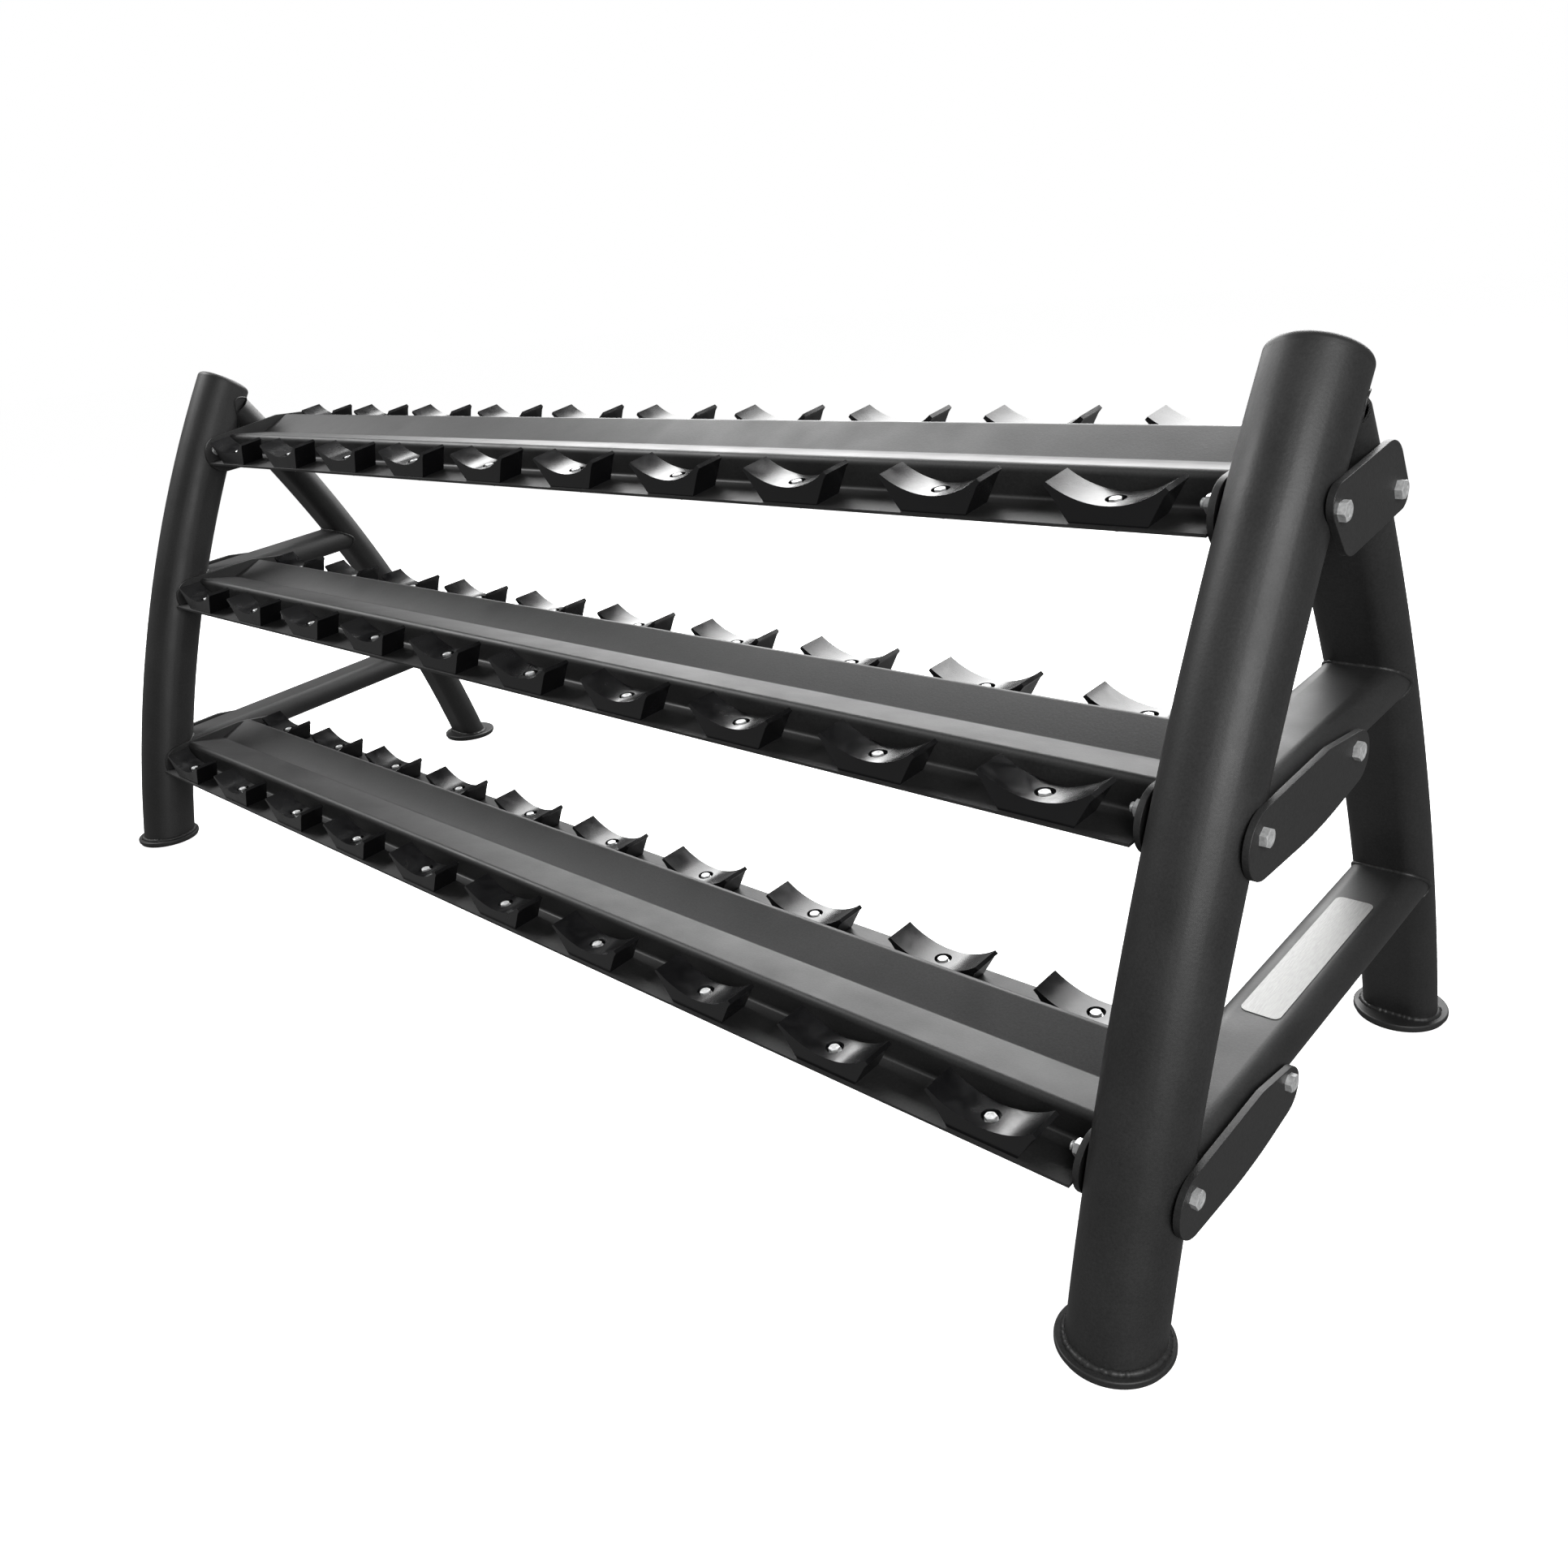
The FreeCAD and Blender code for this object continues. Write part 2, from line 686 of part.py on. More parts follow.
def headed_bolt(name, diameter, flats, head, reach_formula, reach):
    """A hexagon-headed bolt: head above the XY plane, shank below it."""
    shank = round_bar(name + "_shank", "%s / 2" % diameter, reach_formula, -reach)
    return fuse([hexagon(name + "_head", flats, head), shank], name)


def pierced(solid, name, bore):
    """A nut or washer: a solid with a bore a little over the thread."""
    return cut(solid, round_bar(name + "_bore", bore, "50"), name)


CLEARANCE = "0.2"
grip = 2 * plate_gap + 2 * size("plate_thickness")
bolt_reach = grip + size("bolt_washer") + size("bolt_nut") + size("bolt_tail")
bolt = headed_bolt(
    "frame_bolt", "Sizes.bolt_diameter", "Sizes.bolt_flats", "Sizes.bolt_head",
    "Sizes.upright_diameter + 2 * Sizes.plate_thickness"
    " + Sizes.bolt_washer + Sizes.bolt_nut + Sizes.bolt_tail", bolt_reach)
bolt_washer = pierced(
    round_bar("frame_washer_disc", "Sizes.bolt_washer_radius", "Sizes.bolt_washer"),
    "frame_washer", "Sizes.bolt_hole / 2")
bolt_nut = pierced(hexagon("frame_nut_block", "Sizes.bolt_flats", "Sizes.bolt_nut"),
                   "frame_nut", "Sizes.bolt_diameter / 2 + " + CLEARANCE)

screw_grip = screw_seat + size("screw_washer") + size("sheet_thickness")
screw_reach = screw_grip + size("screw_nut") + size("screw_tail")
screw = headed_bolt(
    "saddle_screw", "Sizes.screw_diameter", "Sizes.screw_flats", "Sizes.screw_head",
    "Sizes.saddle_seat - Sizes.screw_recess + Sizes.screw_washer + Sizes.sheet_thickness"
    " + Sizes.screw_nut + Sizes.screw_tail", screw_reach)
screw_washer = pierced(
    round_bar("saddle_washer_disc", "Sizes.screw_washer_radius", "Sizes.screw_washer"),
    "saddle_washer", "Sizes.screw_hole / 2")
screw_nut = pierced(hexagon("saddle_nut_block", "Sizes.screw_flats", "Sizes.screw_nut"),
                    "saddle_nut", "Sizes.screw_diameter / 2 + " + CLEARANCE)
doc.recompute()

# A place whose local Z points outwards through an end frame, at a distance from its middle.
bolt_points = [(sign, point) for _, sign in ENDS for tier in tiers
               for point in (tier.front_bolt, tier.rear_bolt)]


def across(offset):
    return [Placement(Vector(sign * (frame_x + offset), *point),
                      Rotation(Vector(0, 1, 0), 90 * sign)) for sign, point in bolt_points]


inner_face = -plate_gap - size("plate_thickness")
repeat(bolt, "frame_bolts", across(plate_gap + size("plate_thickness")))
repeat(bolt_washer, "frame_washers", across(inner_face - size("bolt_washer")))
repeat(bolt_nut, "frame_nuts", across(inner_face - size("bolt_washer") - size("bolt_nut")))


def on_saddles(height):
    """A place over every saddle's hole, at a height above its ledge."""
    return [tier.placement(run, ledge_top + height, x)
            for tier in tiers for _, run in rows for x in saddle_x]


below_sheet = -size("sheet_thickness") - size("screw_nut")
repeat(screw, "saddle_screws", on_saddles(screw_seat + size("screw_washer")))
repeat(screw_washer, "saddle_washers", on_saddles(screw_seat))
repeat(screw_nut, "saddle_nuts", on_saddles(below_sheet))

# ---------------------------------------------------------------- name plate


def rounded_plate(name):
    """A thin plate with round corners, its length along Y."""
    body = doc.addObject("PartDesign::Body", name)
    outline = new_sketch(body, name + "_outline", "XY_Plane")
    a, b = Vector(-20, -100, 0), Vector(20, 100, 0)
    corners = [a, Vector(b.x, a.y, 0), b, Vector(a.x, b.y, 0)]
    for start, end in zip(corners, corners[1:] + corners[:1]):
        outline.addGeometry(Part.LineSegment(start, end))
    join_points(outline, ((0, 2, 1, 1), (1, 2, 2, 1), (2, 2, 3, 1), (3, 2, 0, 1)))
    for line, kind in ((0, "Horizontal"), (2, "Horizontal"), (1, "Vertical"), (3, "Vertical")):
        outline.addConstraint(Sketcher.Constraint(kind, line))
    outline.addConstraint(Sketcher.Constraint("Symmetric", 0, 1, 1, 2, -1, 1))
    measure(outline, "Sizes.label_width", "DistanceX", 0, 1, 0, 2)
    measure(outline, "Sizes.label_length", "DistanceY", 1, 1, 1, 2)
    pad = body.newObject("PartDesign::Pad", name + "_blank")
    pad.Profile = outline
    pad.Length = 2
    bind(pad, Length="Sizes.label_thickness")
    doc.recompute()
    corners = body.newObject("PartDesign::Fillet", name + "_corners")
    upright_edges = [i for i, e in enumerate(pad.Shape.Edges, start=1)
                     if e.BoundBox.XLength < 0.01 and e.BoundBox.YLength < 0.01]
    corners.Base = (pad, ["Edge%d" % i for i in upright_edges])
    corners.Radius = 5
    bind(corners, Radius="Sizes.label_corner")
    return body


label = rounded_plate("label")
lower = tiers[0]
y, z = lower.at(size("label_run"), size("rung_depth") / 2, lower.front_bolt)
label.Placement = Placement(Vector(frame_x, y, z), Rotation(Vector(1, 0, 0), lower.tilt))
keep(label, "name_plate")

# ---------------------------------------------------------------- check and write

doc.recompute()
for thing in doc.Objects:
    assert not {"Invalid", "Error"} & set(thing.State), "%s: %s" % (thing.Name, thing.State)
os.makedirs("parts", exist_ok=True)
for node in nodes:
    assert not node.Shape.isNull() and node.Shape.isValid(), node.Label
    assert node.Shape.Volume > 0, node.Label
    node.Shape.exportStep("parts/%s.step" % node.Label)
    box = node.Shape.BoundBox
    print("%-26s solids %3d  x %8.1f %8.1f  y %7.1f %7.1f  z %7.1f %7.1f" % (
        node.Label, len(node.Shape.Solids), box.XMin, box.XMax, box.YMin, box.YMax,
        box.ZMin, box.ZMax))
print("%d nodes" % len(nodes))
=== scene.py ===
import math

import bmesh
import bpy
from bpy.props import FloatProperty, FloatVectorProperty, PointerProperty
from mathutils import Matrix, Vector, noise


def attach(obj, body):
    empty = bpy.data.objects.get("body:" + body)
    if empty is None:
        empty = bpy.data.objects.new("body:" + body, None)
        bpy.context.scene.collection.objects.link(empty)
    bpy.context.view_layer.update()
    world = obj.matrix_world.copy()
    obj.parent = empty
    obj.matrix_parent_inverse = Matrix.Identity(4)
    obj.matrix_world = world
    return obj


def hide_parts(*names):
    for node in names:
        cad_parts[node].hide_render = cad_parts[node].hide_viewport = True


bl_info = {
    "name": "Dumbbell Rack Looks",
    "version": (1, 0, 0),
    "blender": (4, 5, 0),
    "location": "3D View > Sidebar > Rack",
    "description": "Finishes and detail for a three-tier dumbbell rack, over its fixed frame",
    "category": "Object",
}

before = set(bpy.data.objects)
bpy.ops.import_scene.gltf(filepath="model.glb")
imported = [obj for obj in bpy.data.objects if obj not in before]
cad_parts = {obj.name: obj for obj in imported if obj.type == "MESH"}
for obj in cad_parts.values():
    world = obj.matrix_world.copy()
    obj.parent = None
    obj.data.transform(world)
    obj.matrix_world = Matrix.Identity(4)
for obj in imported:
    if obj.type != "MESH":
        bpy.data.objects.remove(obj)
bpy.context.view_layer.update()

MM = 0.001
TIERS = ("lower", "middle", "top")
SIDES = (("left", -1), ("right", 1))
PLACES_A_ROW = 10
MERGE = 1e-6  # metres within which two vertices are one


def hex_colour(text):
    """A linear colour from an sRGB hex value."""
    channels = [int(text[i:i + 2], 16) / 255 for i in (1, 3, 5)]
    linear = [c / 12.92 if c <= 0.04045 else ((c + 0.055) / 1.055) ** 2.4 for c in channels]
    return (*linear, 1.0)


# ---------------------------------------------------------------- properties


class RackSizes(bpy.types.PropertyGroup):
    """Sizes of the rack's visible detail; the frame itself is fixed."""

    lower_tilt: FloatProperty(
        name="Lower Tilt", description="How far the lower and middle shelves lean back",
        default=math.radians(5.5), subtype="ANGLE", unit="ROTATION")
    top_tilt: FloatProperty(
        name="Top Tilt", description="How far the top shelf leans back",
        default=math.radians(10.5), subtype="ANGLE", unit="ROTATION")
    saddle_round: FloatProperty(
        name="Saddle Rounding", description="Edge radius of the moulded saddles",
        default=1.5 * MM, min=0.2 * MM, max=3 * MM, subtype="DISTANCE", unit="LENGTH")
    bolt_flats: FloatProperty(
        name="Bolt Flats", description="Width across flats of a frame bolt or nut",
        default=19 * MM, subtype="DISTANCE", unit="LENGTH")
    screw_flats: FloatProperty(
        name="Screw Flats", description="Width across flats of a saddle screw or nut",
        default=13 * MM, subtype="DISTANCE", unit="LENGTH")
    weld_radius: FloatProperty(
        name="Weld Size", description="Radius of a weld bead",
        default=3.0 * MM, min=1 * MM, max=8 * MM, subtype="DISTANCE", unit="LENGTH")
    plate_round: FloatProperty(
        name="Plate Edge", description="Rounding that the powder coat gives a plate's edges",
        default=0.9 * MM, min=0.1 * MM, max=3 * MM, subtype="DISTANCE", unit="LENGTH")


class RackColours(bpy.types.PropertyGroup):
    """Colours of the rack's finishes."""

    coat: FloatVectorProperty(
        name="Powder Coat", description="Charcoal powder coat on the frame and shelves",
        default=hex_colour("#232323"), size=4, min=0, max=1, subtype="COLOR")
    moulding: FloatVectorProperty(
        name="Saddle Plastic", description="Black moulded plastic of the saddles",
        default=hex_colour("#0f0f10"), size=4, min=0, max=1, subtype="COLOR")
    zinc: FloatVectorProperty(
        name="Zinc Plate", description="Bright zinc plating of the bolts and screws",
        default=hex_colour("#dcdddd"), size=4, min=0, max=1, subtype="COLOR")
    plate: FloatVectorProperty(
        name="Name Plate", description="Brushed aluminium of the blank name plate",
        default=hex_colour("#979796"), size=4, min=0, max=1, subtype="COLOR")


# ---------------------------------------------------------------- materials


def add_node(tree, kind, links=(), **settings):
    """Add a node; settings are its properties or input values, links are (input, socket)."""
    node = tree.nodes.new(kind)
    for name, value in settings.items():
        if hasattr(node, name):
            setattr(node, name, value)
        else:
            node.inputs[name.replace("_", " ")].default_value = value
    for name, socket in links:
        tree.links.new(socket, node.inputs[name])
    return node


def new_material(name):
    """An empty material with its shader and output; returns (material, tree, shader)."""
    material = bpy.data.materials.new(name)
    material.use_nodes = True
    tree = material.node_tree
    shader = tree.nodes["Principled BSDF"]
    return material, tree, shader


def object_coordinates(tree, scale=(1, 1, 1)):
    """Object coordinates through a Mapping node with a scale."""
    source = add_node(tree, "ShaderNodeTexCoord")
    mapping = add_node(tree, "ShaderNodeMapping", [("Vector", source.outputs["Object"])])
    mapping.inputs["Scale"].default_value = scale
    return mapping.outputs["Vector"]


def per_metre(size_mm):
    """A noise scale whose features are about this many millimetres."""
    return 1000 / size_mm


def tint(tree, factor, dark, light, start=0.0, end=1.0):
    """A colour from dark to light, as a factor goes from start to end."""
    ramp = add_node(tree, "ShaderNodeValToRGB", [("Fac", factor)])
    for element, colour, position in zip(ramp.color_ramp.elements, (dark, light), (start, end)):
        element.color = colour
        element.position = position
    return ramp.outputs["Color"]


def remap(tree, value, start, end, low=0.0, high=1.0):
    """A value that goes from start to end, as another goes from low to high."""
    node = add_node(tree, "ShaderNodeMapRange", [("Value", value)])
    node.inputs["From Min"].default_value = low
    node.inputs["From Max"].default_value = high
    node.inputs["To Min"].default_value = start
    node.inputs["To Max"].default_value = end
    return node.outputs["Result"]


def emboss(tree, shader, height, strength, distance):
    """Bump a shader by a height, over a distance in metres."""
    bump = add_node(tree, "ShaderNodeBump", [("Height", height)],
                    Strength=strength, Distance=distance)
    tree.links.new(bump.outputs["Normal"], shader.inputs["Normal"])


def shade(colour, amount):
    """A colour made darker or lighter by a factor."""
    return tuple(min(1.0, c * amount) for c in colour[:3]) + (1.0,)


def powder_coat(colour, name="Powder Coated Steel"):
    """Polyester powder coat, sprayed and baked: matte, with a fine orange-peel grain."""
    material, tree, shader = new_material(name)
    place = object_coordinates(tree)
    # Soft blotches where hands and cloths have dulled the coat, about 90 mm across.
    smudge = add_node(tree, "ShaderNodeTexNoise", [("Vector", place)],
                      Scale=per_metre(90), Detail=4.0, Roughness=0.55)
    blend = tint(tree, smudge.outputs["Fac"], shade(colour, 0.88), shade(colour, 1.14),
                 0.35, 0.68)
    # Texture grit of the powder is about 0.4 mm; drawn at 3 mm so that it shows.
    grit = add_node(tree, "ShaderNodeTexNoise", [("Vector", place)],
                    Scale=per_metre(3), Detail=4.0, Roughness=0.7)
    speckle = tint(tree, grit.outputs["Fac"], (0.7, 0.7, 0.7, 1), (1.34, 1.34, 1.34, 1),
                   0.3, 0.7)
    mixed = add_node(tree, "ShaderNodeMix", data_type="RGBA", blend_type="MULTIPLY")
    mixed.inputs["Factor"].default_value = 1.0
    tree.links.new(blend, mixed.inputs["A"])
    tree.links.new(speckle, mixed.inputs["B"])
    tree.links.new(mixed.outputs["Result"], shader.inputs["Base Color"])
    # The dulled blotches are rougher as well as darker or lighter.
    rough = remap(tree, smudge.outputs["Fac"], 0.45, 0.57, 0.3, 0.7)
    tree.links.new(rough, shader.inputs["Roughness"])
    # Orange peel of the baked coat, about 3 mm across.
    peel = add_node(tree, "ShaderNodeTexNoise", [("Vector", place)],
                    Scale=per_metre(3.2), Detail=2.0, Roughness=0.5)
    emboss(tree, shader, peel.outputs["Fac"], 0.3, 0.4 * MM)
    return material


def scratch_mask(tree, start, end, width):
    """1 on a thin line between two points of the rack, 0 away from it; in millimetres."""
    place = add_node(tree, "ShaderNodeTexCoord").outputs["Object"]
    along = (Vector(end) - Vector(start)) * MM
    length = along.length
    along.normalize()
    offset = add_node(tree, "ShaderNodeVectorMath", [(0, place)], operation="SUBTRACT")
    offset.inputs[1].default_value = Vector(start) * MM
    run = add_node(tree, "ShaderNodeVectorMath", [(0, offset.outputs[0])],
                   operation="DOT_PRODUCT")
    run.inputs[1].default_value = along
    kept = add_node(tree, "ShaderNodeClamp", [("Value", run.outputs["Value"])], Max=length)
    foot = add_node(tree, "ShaderNodeVectorMath", [("Scale", kept.outputs["Result"])],
                    operation="SCALE")
    foot.inputs[0].default_value = along
    ends = [(0, offset.outputs[0]), (1, foot.outputs[0])]
    away = add_node(tree, "ShaderNodeVectorMath", ends, operation="DISTANCE")
    return remap(tree, away.outputs["Value"], 0.0, 1.0, width * MM, width * MM * 0.3)


def scratched(material, scratches, colour):
    """Add pale scratches through a coat, each (start, end, width) in millimetres."""
    tree = material.node_tree
    shader = tree.nodes["Principled BSDF"]
    base = shader.inputs["Base Color"].links[0].from_socket
    for start, end, width in scratches:
        mask = scratch_mask(tree, start, end, width)
        mixed = add_node(tree, "ShaderNodeMix", data_type="RGBA")
        tree.links.new(mask, mixed.inputs["Factor"])
        tree.links.new(base, mixed.inputs["A"])
        mixed.inputs["B"].default_value = colour
        base = mixed.outputs["Result"]
    tree.links.new(base, shader.inputs["Base Color"])
    return material


def moulded_plastic(colour, name="Moulded Polypropylene", roughness=0.2, grain=0.08):
    """Injection-moulded polypropylene: black, semi-gloss, with faint flow and sink marks."""
    material, tree, shader = new_material(name)
    place = object_coordinates(tree)
    flow = add_node(tree, "ShaderNodeTexNoise", [("Vector", place)],
                    Scale=per_metre(30), Detail=3.0, Distortion=0.6)
    blend = tint(tree, flow.outputs["Fac"], shade(colour, 0.85), shade(colour, 1.25))
    tree.links.new(blend, shader.inputs["Base Color"])
    rough = remap(tree, flow.outputs["Fac"], roughness - 0.04, roughness + 0.08, 0.3, 0.7)
    tree.links.new(rough, shader.inputs["Roughness"])
    fine = add_node(tree, "ShaderNodeTexNoise", [("Vector", place)],
                    Scale=per_metre(3.0), Detail=2.0)
    emboss(tree, shader, fine.outputs["Fac"], grain, 0.3 * MM)
    shader.inputs["IOR"].default_value = 1.49
    return material


def zinc_plate(colour):
    """Bright zinc electroplate on rolled steel: cloudy silver, a little uneven."""
    material, tree, shader = new_material("Zinc Plated Steel")
    place = object_coordinates(tree)
    cloud = add_node(tree, "ShaderNodeTexNoise", [("Vector", place)],
                     Scale=per_metre(5), Detail=4.0)
    blend = tint(tree, cloud.outputs["Fac"], shade(colour, 0.72), shade(colour, 1.08),
                 0.35, 0.62)
    tree.links.new(blend, shader.inputs["Base Color"])
    rough = remap(tree, cloud.outputs["Fac"], 0.46, 0.28)
    tree.links.new(rough, shader.inputs["Roughness"])
    # The plating is cloudy, so it scatters light as well as mirroring it.
    shader.inputs["Metallic"].default_value = 0.55
    return material


def brushed_plate(colour):
    """Aluminium sheet brushed along its length, then lacquered."""
    material, tree, shader = new_material("Brushed Aluminium")
    # Brush lines are about 0.3 mm apart; drawn 1.2 mm apart so that they show.
    lines = object_coordinates(tree, (per_metre(1.2), per_metre(120), per_metre(1.2)))
    brush = add_node(tree, "ShaderNodeTexNoise", [("Vector", lines)], Scale=1.0, Detail=5.0,
                     Roughness=0.6)
    blend = tint(tree, brush.outputs["Fac"], shade(colour, 0.78), shade(colour, 1.12),
                 0.3, 0.7)
    tree.links.new(blend, shader.inputs["Base Color"])
    rough = remap(tree, brush.outputs["Fac"], 0.46, 0.6)
    tree.links.new(rough, shader.inputs["Roughness"])
    emboss(tree, shader, brush.outputs["Fac"], 0.12, 0.1 * MM)
    # The lacquer over the brush lines softens the metal's own reflection.
    shader.inputs["Metallic"].default_value = 0.6
    return material


def pad_rubber():
    """Compression-moulded rubber: dull black with a dusty bloom."""
    material, tree, shader = new_material("Moulded Rubber")
    place = object_coordinates(tree)
    bloom = add_node(tree, "ShaderNodeTexNoise", [("Vector", place)],
                     Scale=per_metre(12), Detail=4.0)
    blend = tint(tree, bloom.outputs["Fac"], hex_colour("#101010"), hex_colour("#232322"))
    tree.links.new(blend, shader.inputs["Base Color"])
    shader.inputs["Roughness"].default_value = 0.82
    emboss(tree, shader, bloom.outputs["Fac"], 0.2, 0.3 * MM)
    return material


def set_material(thing, material):
    """Give every slot of an object one material."""
    if not thing.data.materials:
        thing.data.materials.append(material)
    for index in range(len(thing.data.materials)):
        thing.data.materials[index] = material


# ---------------------------------------------------------------- mesh helpers


def even_shading(piece):
    """Let wide faces set the shading, so that small roundings don't bend it."""
    weighted = piece.modifiers.new("Even Shading", "WEIGHTED_NORMAL")
    weighted.keep_sharp = True


def finish_piece(name, bm, material, replaces=()):
    """Make a bmesh into a piece that rides on the rack."""
    mesh = bpy.data.meshes.new(name)
    bm.to_mesh(mesh)
    bm.free()
    piece = bpy.data.objects.new(name, mesh)
    bpy.context.scene.collection.objects.link(piece)
    set_material(piece, material)
    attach(piece, "root")
    if replaces:
        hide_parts(*replaces)
    return piece


def smooth_by_angle(bm, degrees):
    """Shade faces smooth, keeping edges sharper than an angle."""
    for face in bm.faces:
        face.smooth = True
    limit = math.radians(degrees)
    for edge in bm.edges:
        edge.smooth = not (edge.is_manifold and edge.calc_face_angle(0) > limit)


def merged_copy(node, flatten=False):
    """A CAD node's mesh with its loose triangles joined, into whole flat faces if asked."""
    bm = bmesh.new()
    bm.from_mesh(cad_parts[node].data)
    bmesh.ops.remove_doubles(bm, verts=bm.verts, dist=MERGE)
    if flatten:
        bmesh.ops.dissolve_limit(bm, angle_limit=math.radians(0.05), verts=bm.verts,
                                 edges=bm.edges)
    return bm


def solids_of(node):
    """The middle of each separate solid in a CAD node."""
    bm = merged_copy(node)
    seen, centres = set(), []
    for vert in bm.verts:
        if vert in seen:
            continue
        group, queue = [], [vert]
        seen.add(vert)
        while queue:
            here = queue.pop()
            group.append(here.co.copy())
            for edge in here.link_edges:
                there = edge.other_vert(here)
                if there not in seen:
                    seen.add(there)
                    queue.append(there)
        low = Vector([min(c[i] for c in group) for i in range(3)])
        high = Vector([max(c[i] for c in group) for i in range(3)])
        centres.append((low + high) / 2)
    bm.free()
    return centres


def shaped(bm, modifiers):
    """A bmesh passed through modifiers, each (type, settings)."""
    mesh = bpy.data.meshes.new("work")
    bm.to_mesh(mesh)
    bm.free()
    work = bpy.data.objects.new("work", mesh)
    bpy.context.scene.collection.objects.link(work)
    for kind, settings in modifiers:
        modifier = work.modifiers.new(kind.title(), kind)
        for key, value in settings.items():
            setattr(modifier, key, value)
    bpy.context.view_layer.update()
    done = bpy.data.meshes.new_from_object(
        work.evaluated_get(bpy.context.evaluated_depsgraph_get()))
    result = bmesh.new()
    result.from_mesh(done)
    bpy.data.objects.remove(work)
    bpy.data.meshes.remove(mesh)
    bpy.data.meshes.remove(done)
    return result


def tool_object(bm):
    """A hidden object for a Boolean, from a bmesh."""
    mesh = bpy.data.meshes.new("tool")
    bm.to_mesh(mesh)
    bm.free()
    tool = bpy.data.objects.new("tool", mesh)
    bpy.context.scene.collection.objects.link(tool)
    return tool


def drop_tools(*tools):
    """Delete the objects that Booleans cut with."""
    for tool in tools:
        mesh = tool.data
        bpy.data.objects.remove(tool)
        bpy.data.meshes.remove(mesh)


def cylinder(radius, low, high, segments):
    """A closed cylinder or prism on Z between two heights."""
    bm = bmesh.new()
    bmesh.ops.create_cone(bm, cap_ends=True, segments=segments, radius1=radius,
                          radius2=radius, depth=high - low,
                          matrix=Matrix.Translation((0, 0, (low + high) / 2)))
    return bm


def turned(profile, steps):
    """A profile of (radius, height) points in millimetres spun about Z."""
    bm = bmesh.new()
    verts = [bm.verts.new((r * MM, 0, z * MM)) for r, z in profile]
    edges = [bm.edges.new(pair) for pair in zip(verts, verts[1:])]
    bmesh.ops.spin(bm, geom=verts + edges, cent=(0, 0, 0), axis=(0, 0, 1),
                   angle=math.tau, steps=steps, use_merge=True)
    bmesh.ops.remove_doubles(bm, verts=bm.verts, dist=MERGE)
    bmesh.ops.recalc_face_normals(bm, faces=bm.faces)
    return bm


def many(master, places):
    """Copies of a bmesh at each place, as one bmesh; the master is freed."""
    mesh = bpy.data.meshes.new("copy")
    master.to_mesh(mesh)
    master.free()
    whole = bmesh.new()
    for place in places:
        start = len(whole.verts)
        whole.from_mesh(mesh)
        whole.verts.ensure_lookup_table()
        bmesh.ops.transform(whole, matrix=place, verts=whole.verts[start:])
    bpy.data.meshes.remove(mesh)
    return whole


def joined(*parts):
    """Several bmeshes as one."""
    whole = bmesh.new()
    for part in parts:
        mesh = bpy.data.meshes.new("join")
        part.to_mesh(mesh)
        part.free()
        whole.from_mesh(mesh)
        bpy.data.meshes.remove(mesh)
    return whole


# ---------------------------------------------------------------- fasteners


# Millimetres. A washer is its inner radius, outer radius and thickness; the grip is what a
# bolt's head and washer hold between them, and spare is what sticks out past the nut.
BOLT = {"diameter": 12, "pitch": 1.75, "thread": 20, "head": 8, "grip": 124, "spare": 6,
        "washer": (6.5, 12, 2), "nut": 10, "nut_bore": 12.4}
SCREW = {"diameter": 8, "pitch": 1.25, "thread": 12, "head": 5.5, "ledge": 4, "spare": 4,
         "washer": (4.5, 8.5, 1.6), "nut": 6.5, "nut_bore": 8.4}
FASTENER_TURN = 47  # degrees from one fastener's hexagon to the next


def hex_block(flats, height, profile):
    """A hexagon cut by a turned profile, which gives its corners their round chamfer."""
    tool = tool_object(cylinder(flats / math.sqrt(3), -1 * MM, height + 1 * MM, 6))
    bm = shaped(turned(profile, 32), [("BOOLEAN", {
        "object": tool, "operation": "INTERSECT", "solver": "EXACT"})])
    drop_tools(tool)
    smooth_by_angle(bm, 22)
    return bm


def hexagon_sizes(flats, height):
    """A hexagon's half flats, cutting radius, height and chamfer, all in millimetres."""
    flat, corner = flats / MM / 2, flats / MM / math.sqrt(3) + 0.2
    return flat, corner, height / MM, (corner - flat) * 0.62


def bolt_head(flats, height):
    """A forged head: chamfered corners and a shallow dish on top."""
    flat, corner, high, chamfer = hexagon_sizes(flats, height)
    return hex_block(flats, height, [
        (0, 0), (corner, 0), (corner, high - chamfer), (flat * 0.96, high),
        (flat * 0.66, high), (flat * 0.58, high - 0.5), (0, high - 0.5)])


def nut_block(flats, height, bore):
    """A nut, chamfered on both faces, with its bore countersunk."""
    flat, corner, high, chamfer = hexagon_sizes(flats, height)
    inner = bore / MM / 2
    return hex_block(flats, height, [
        (inner, 0.4), (inner + 0.6, 0), (flat * 0.96, 0), (corner, chamfer),
        (corner, high - chamfer), (flat * 0.96, high), (inner + 0.6, high),
        (inner, high - 0.4), (inner, 0.4)])


def threaded_rod(diameter, low, high, thread_from, pitch):
    """A shank that ends in thread: ridges a pitch apart, and a chamfered tip at `low`."""
    outer = diameter / 2 - 0.05
    root = outer - pitch * 0.5
    profile = [(0, low), (root, low)]
    z = low + pitch * 0.5
    while z < thread_from:
        profile += [(outer, z), (root, z + pitch * 0.5)]
        z += pitch
    profile += [(outer, z), (outer, high), (0, high)]
    bm = turned(profile, 20)
    smooth_by_angle(bm, 30)
    return bm


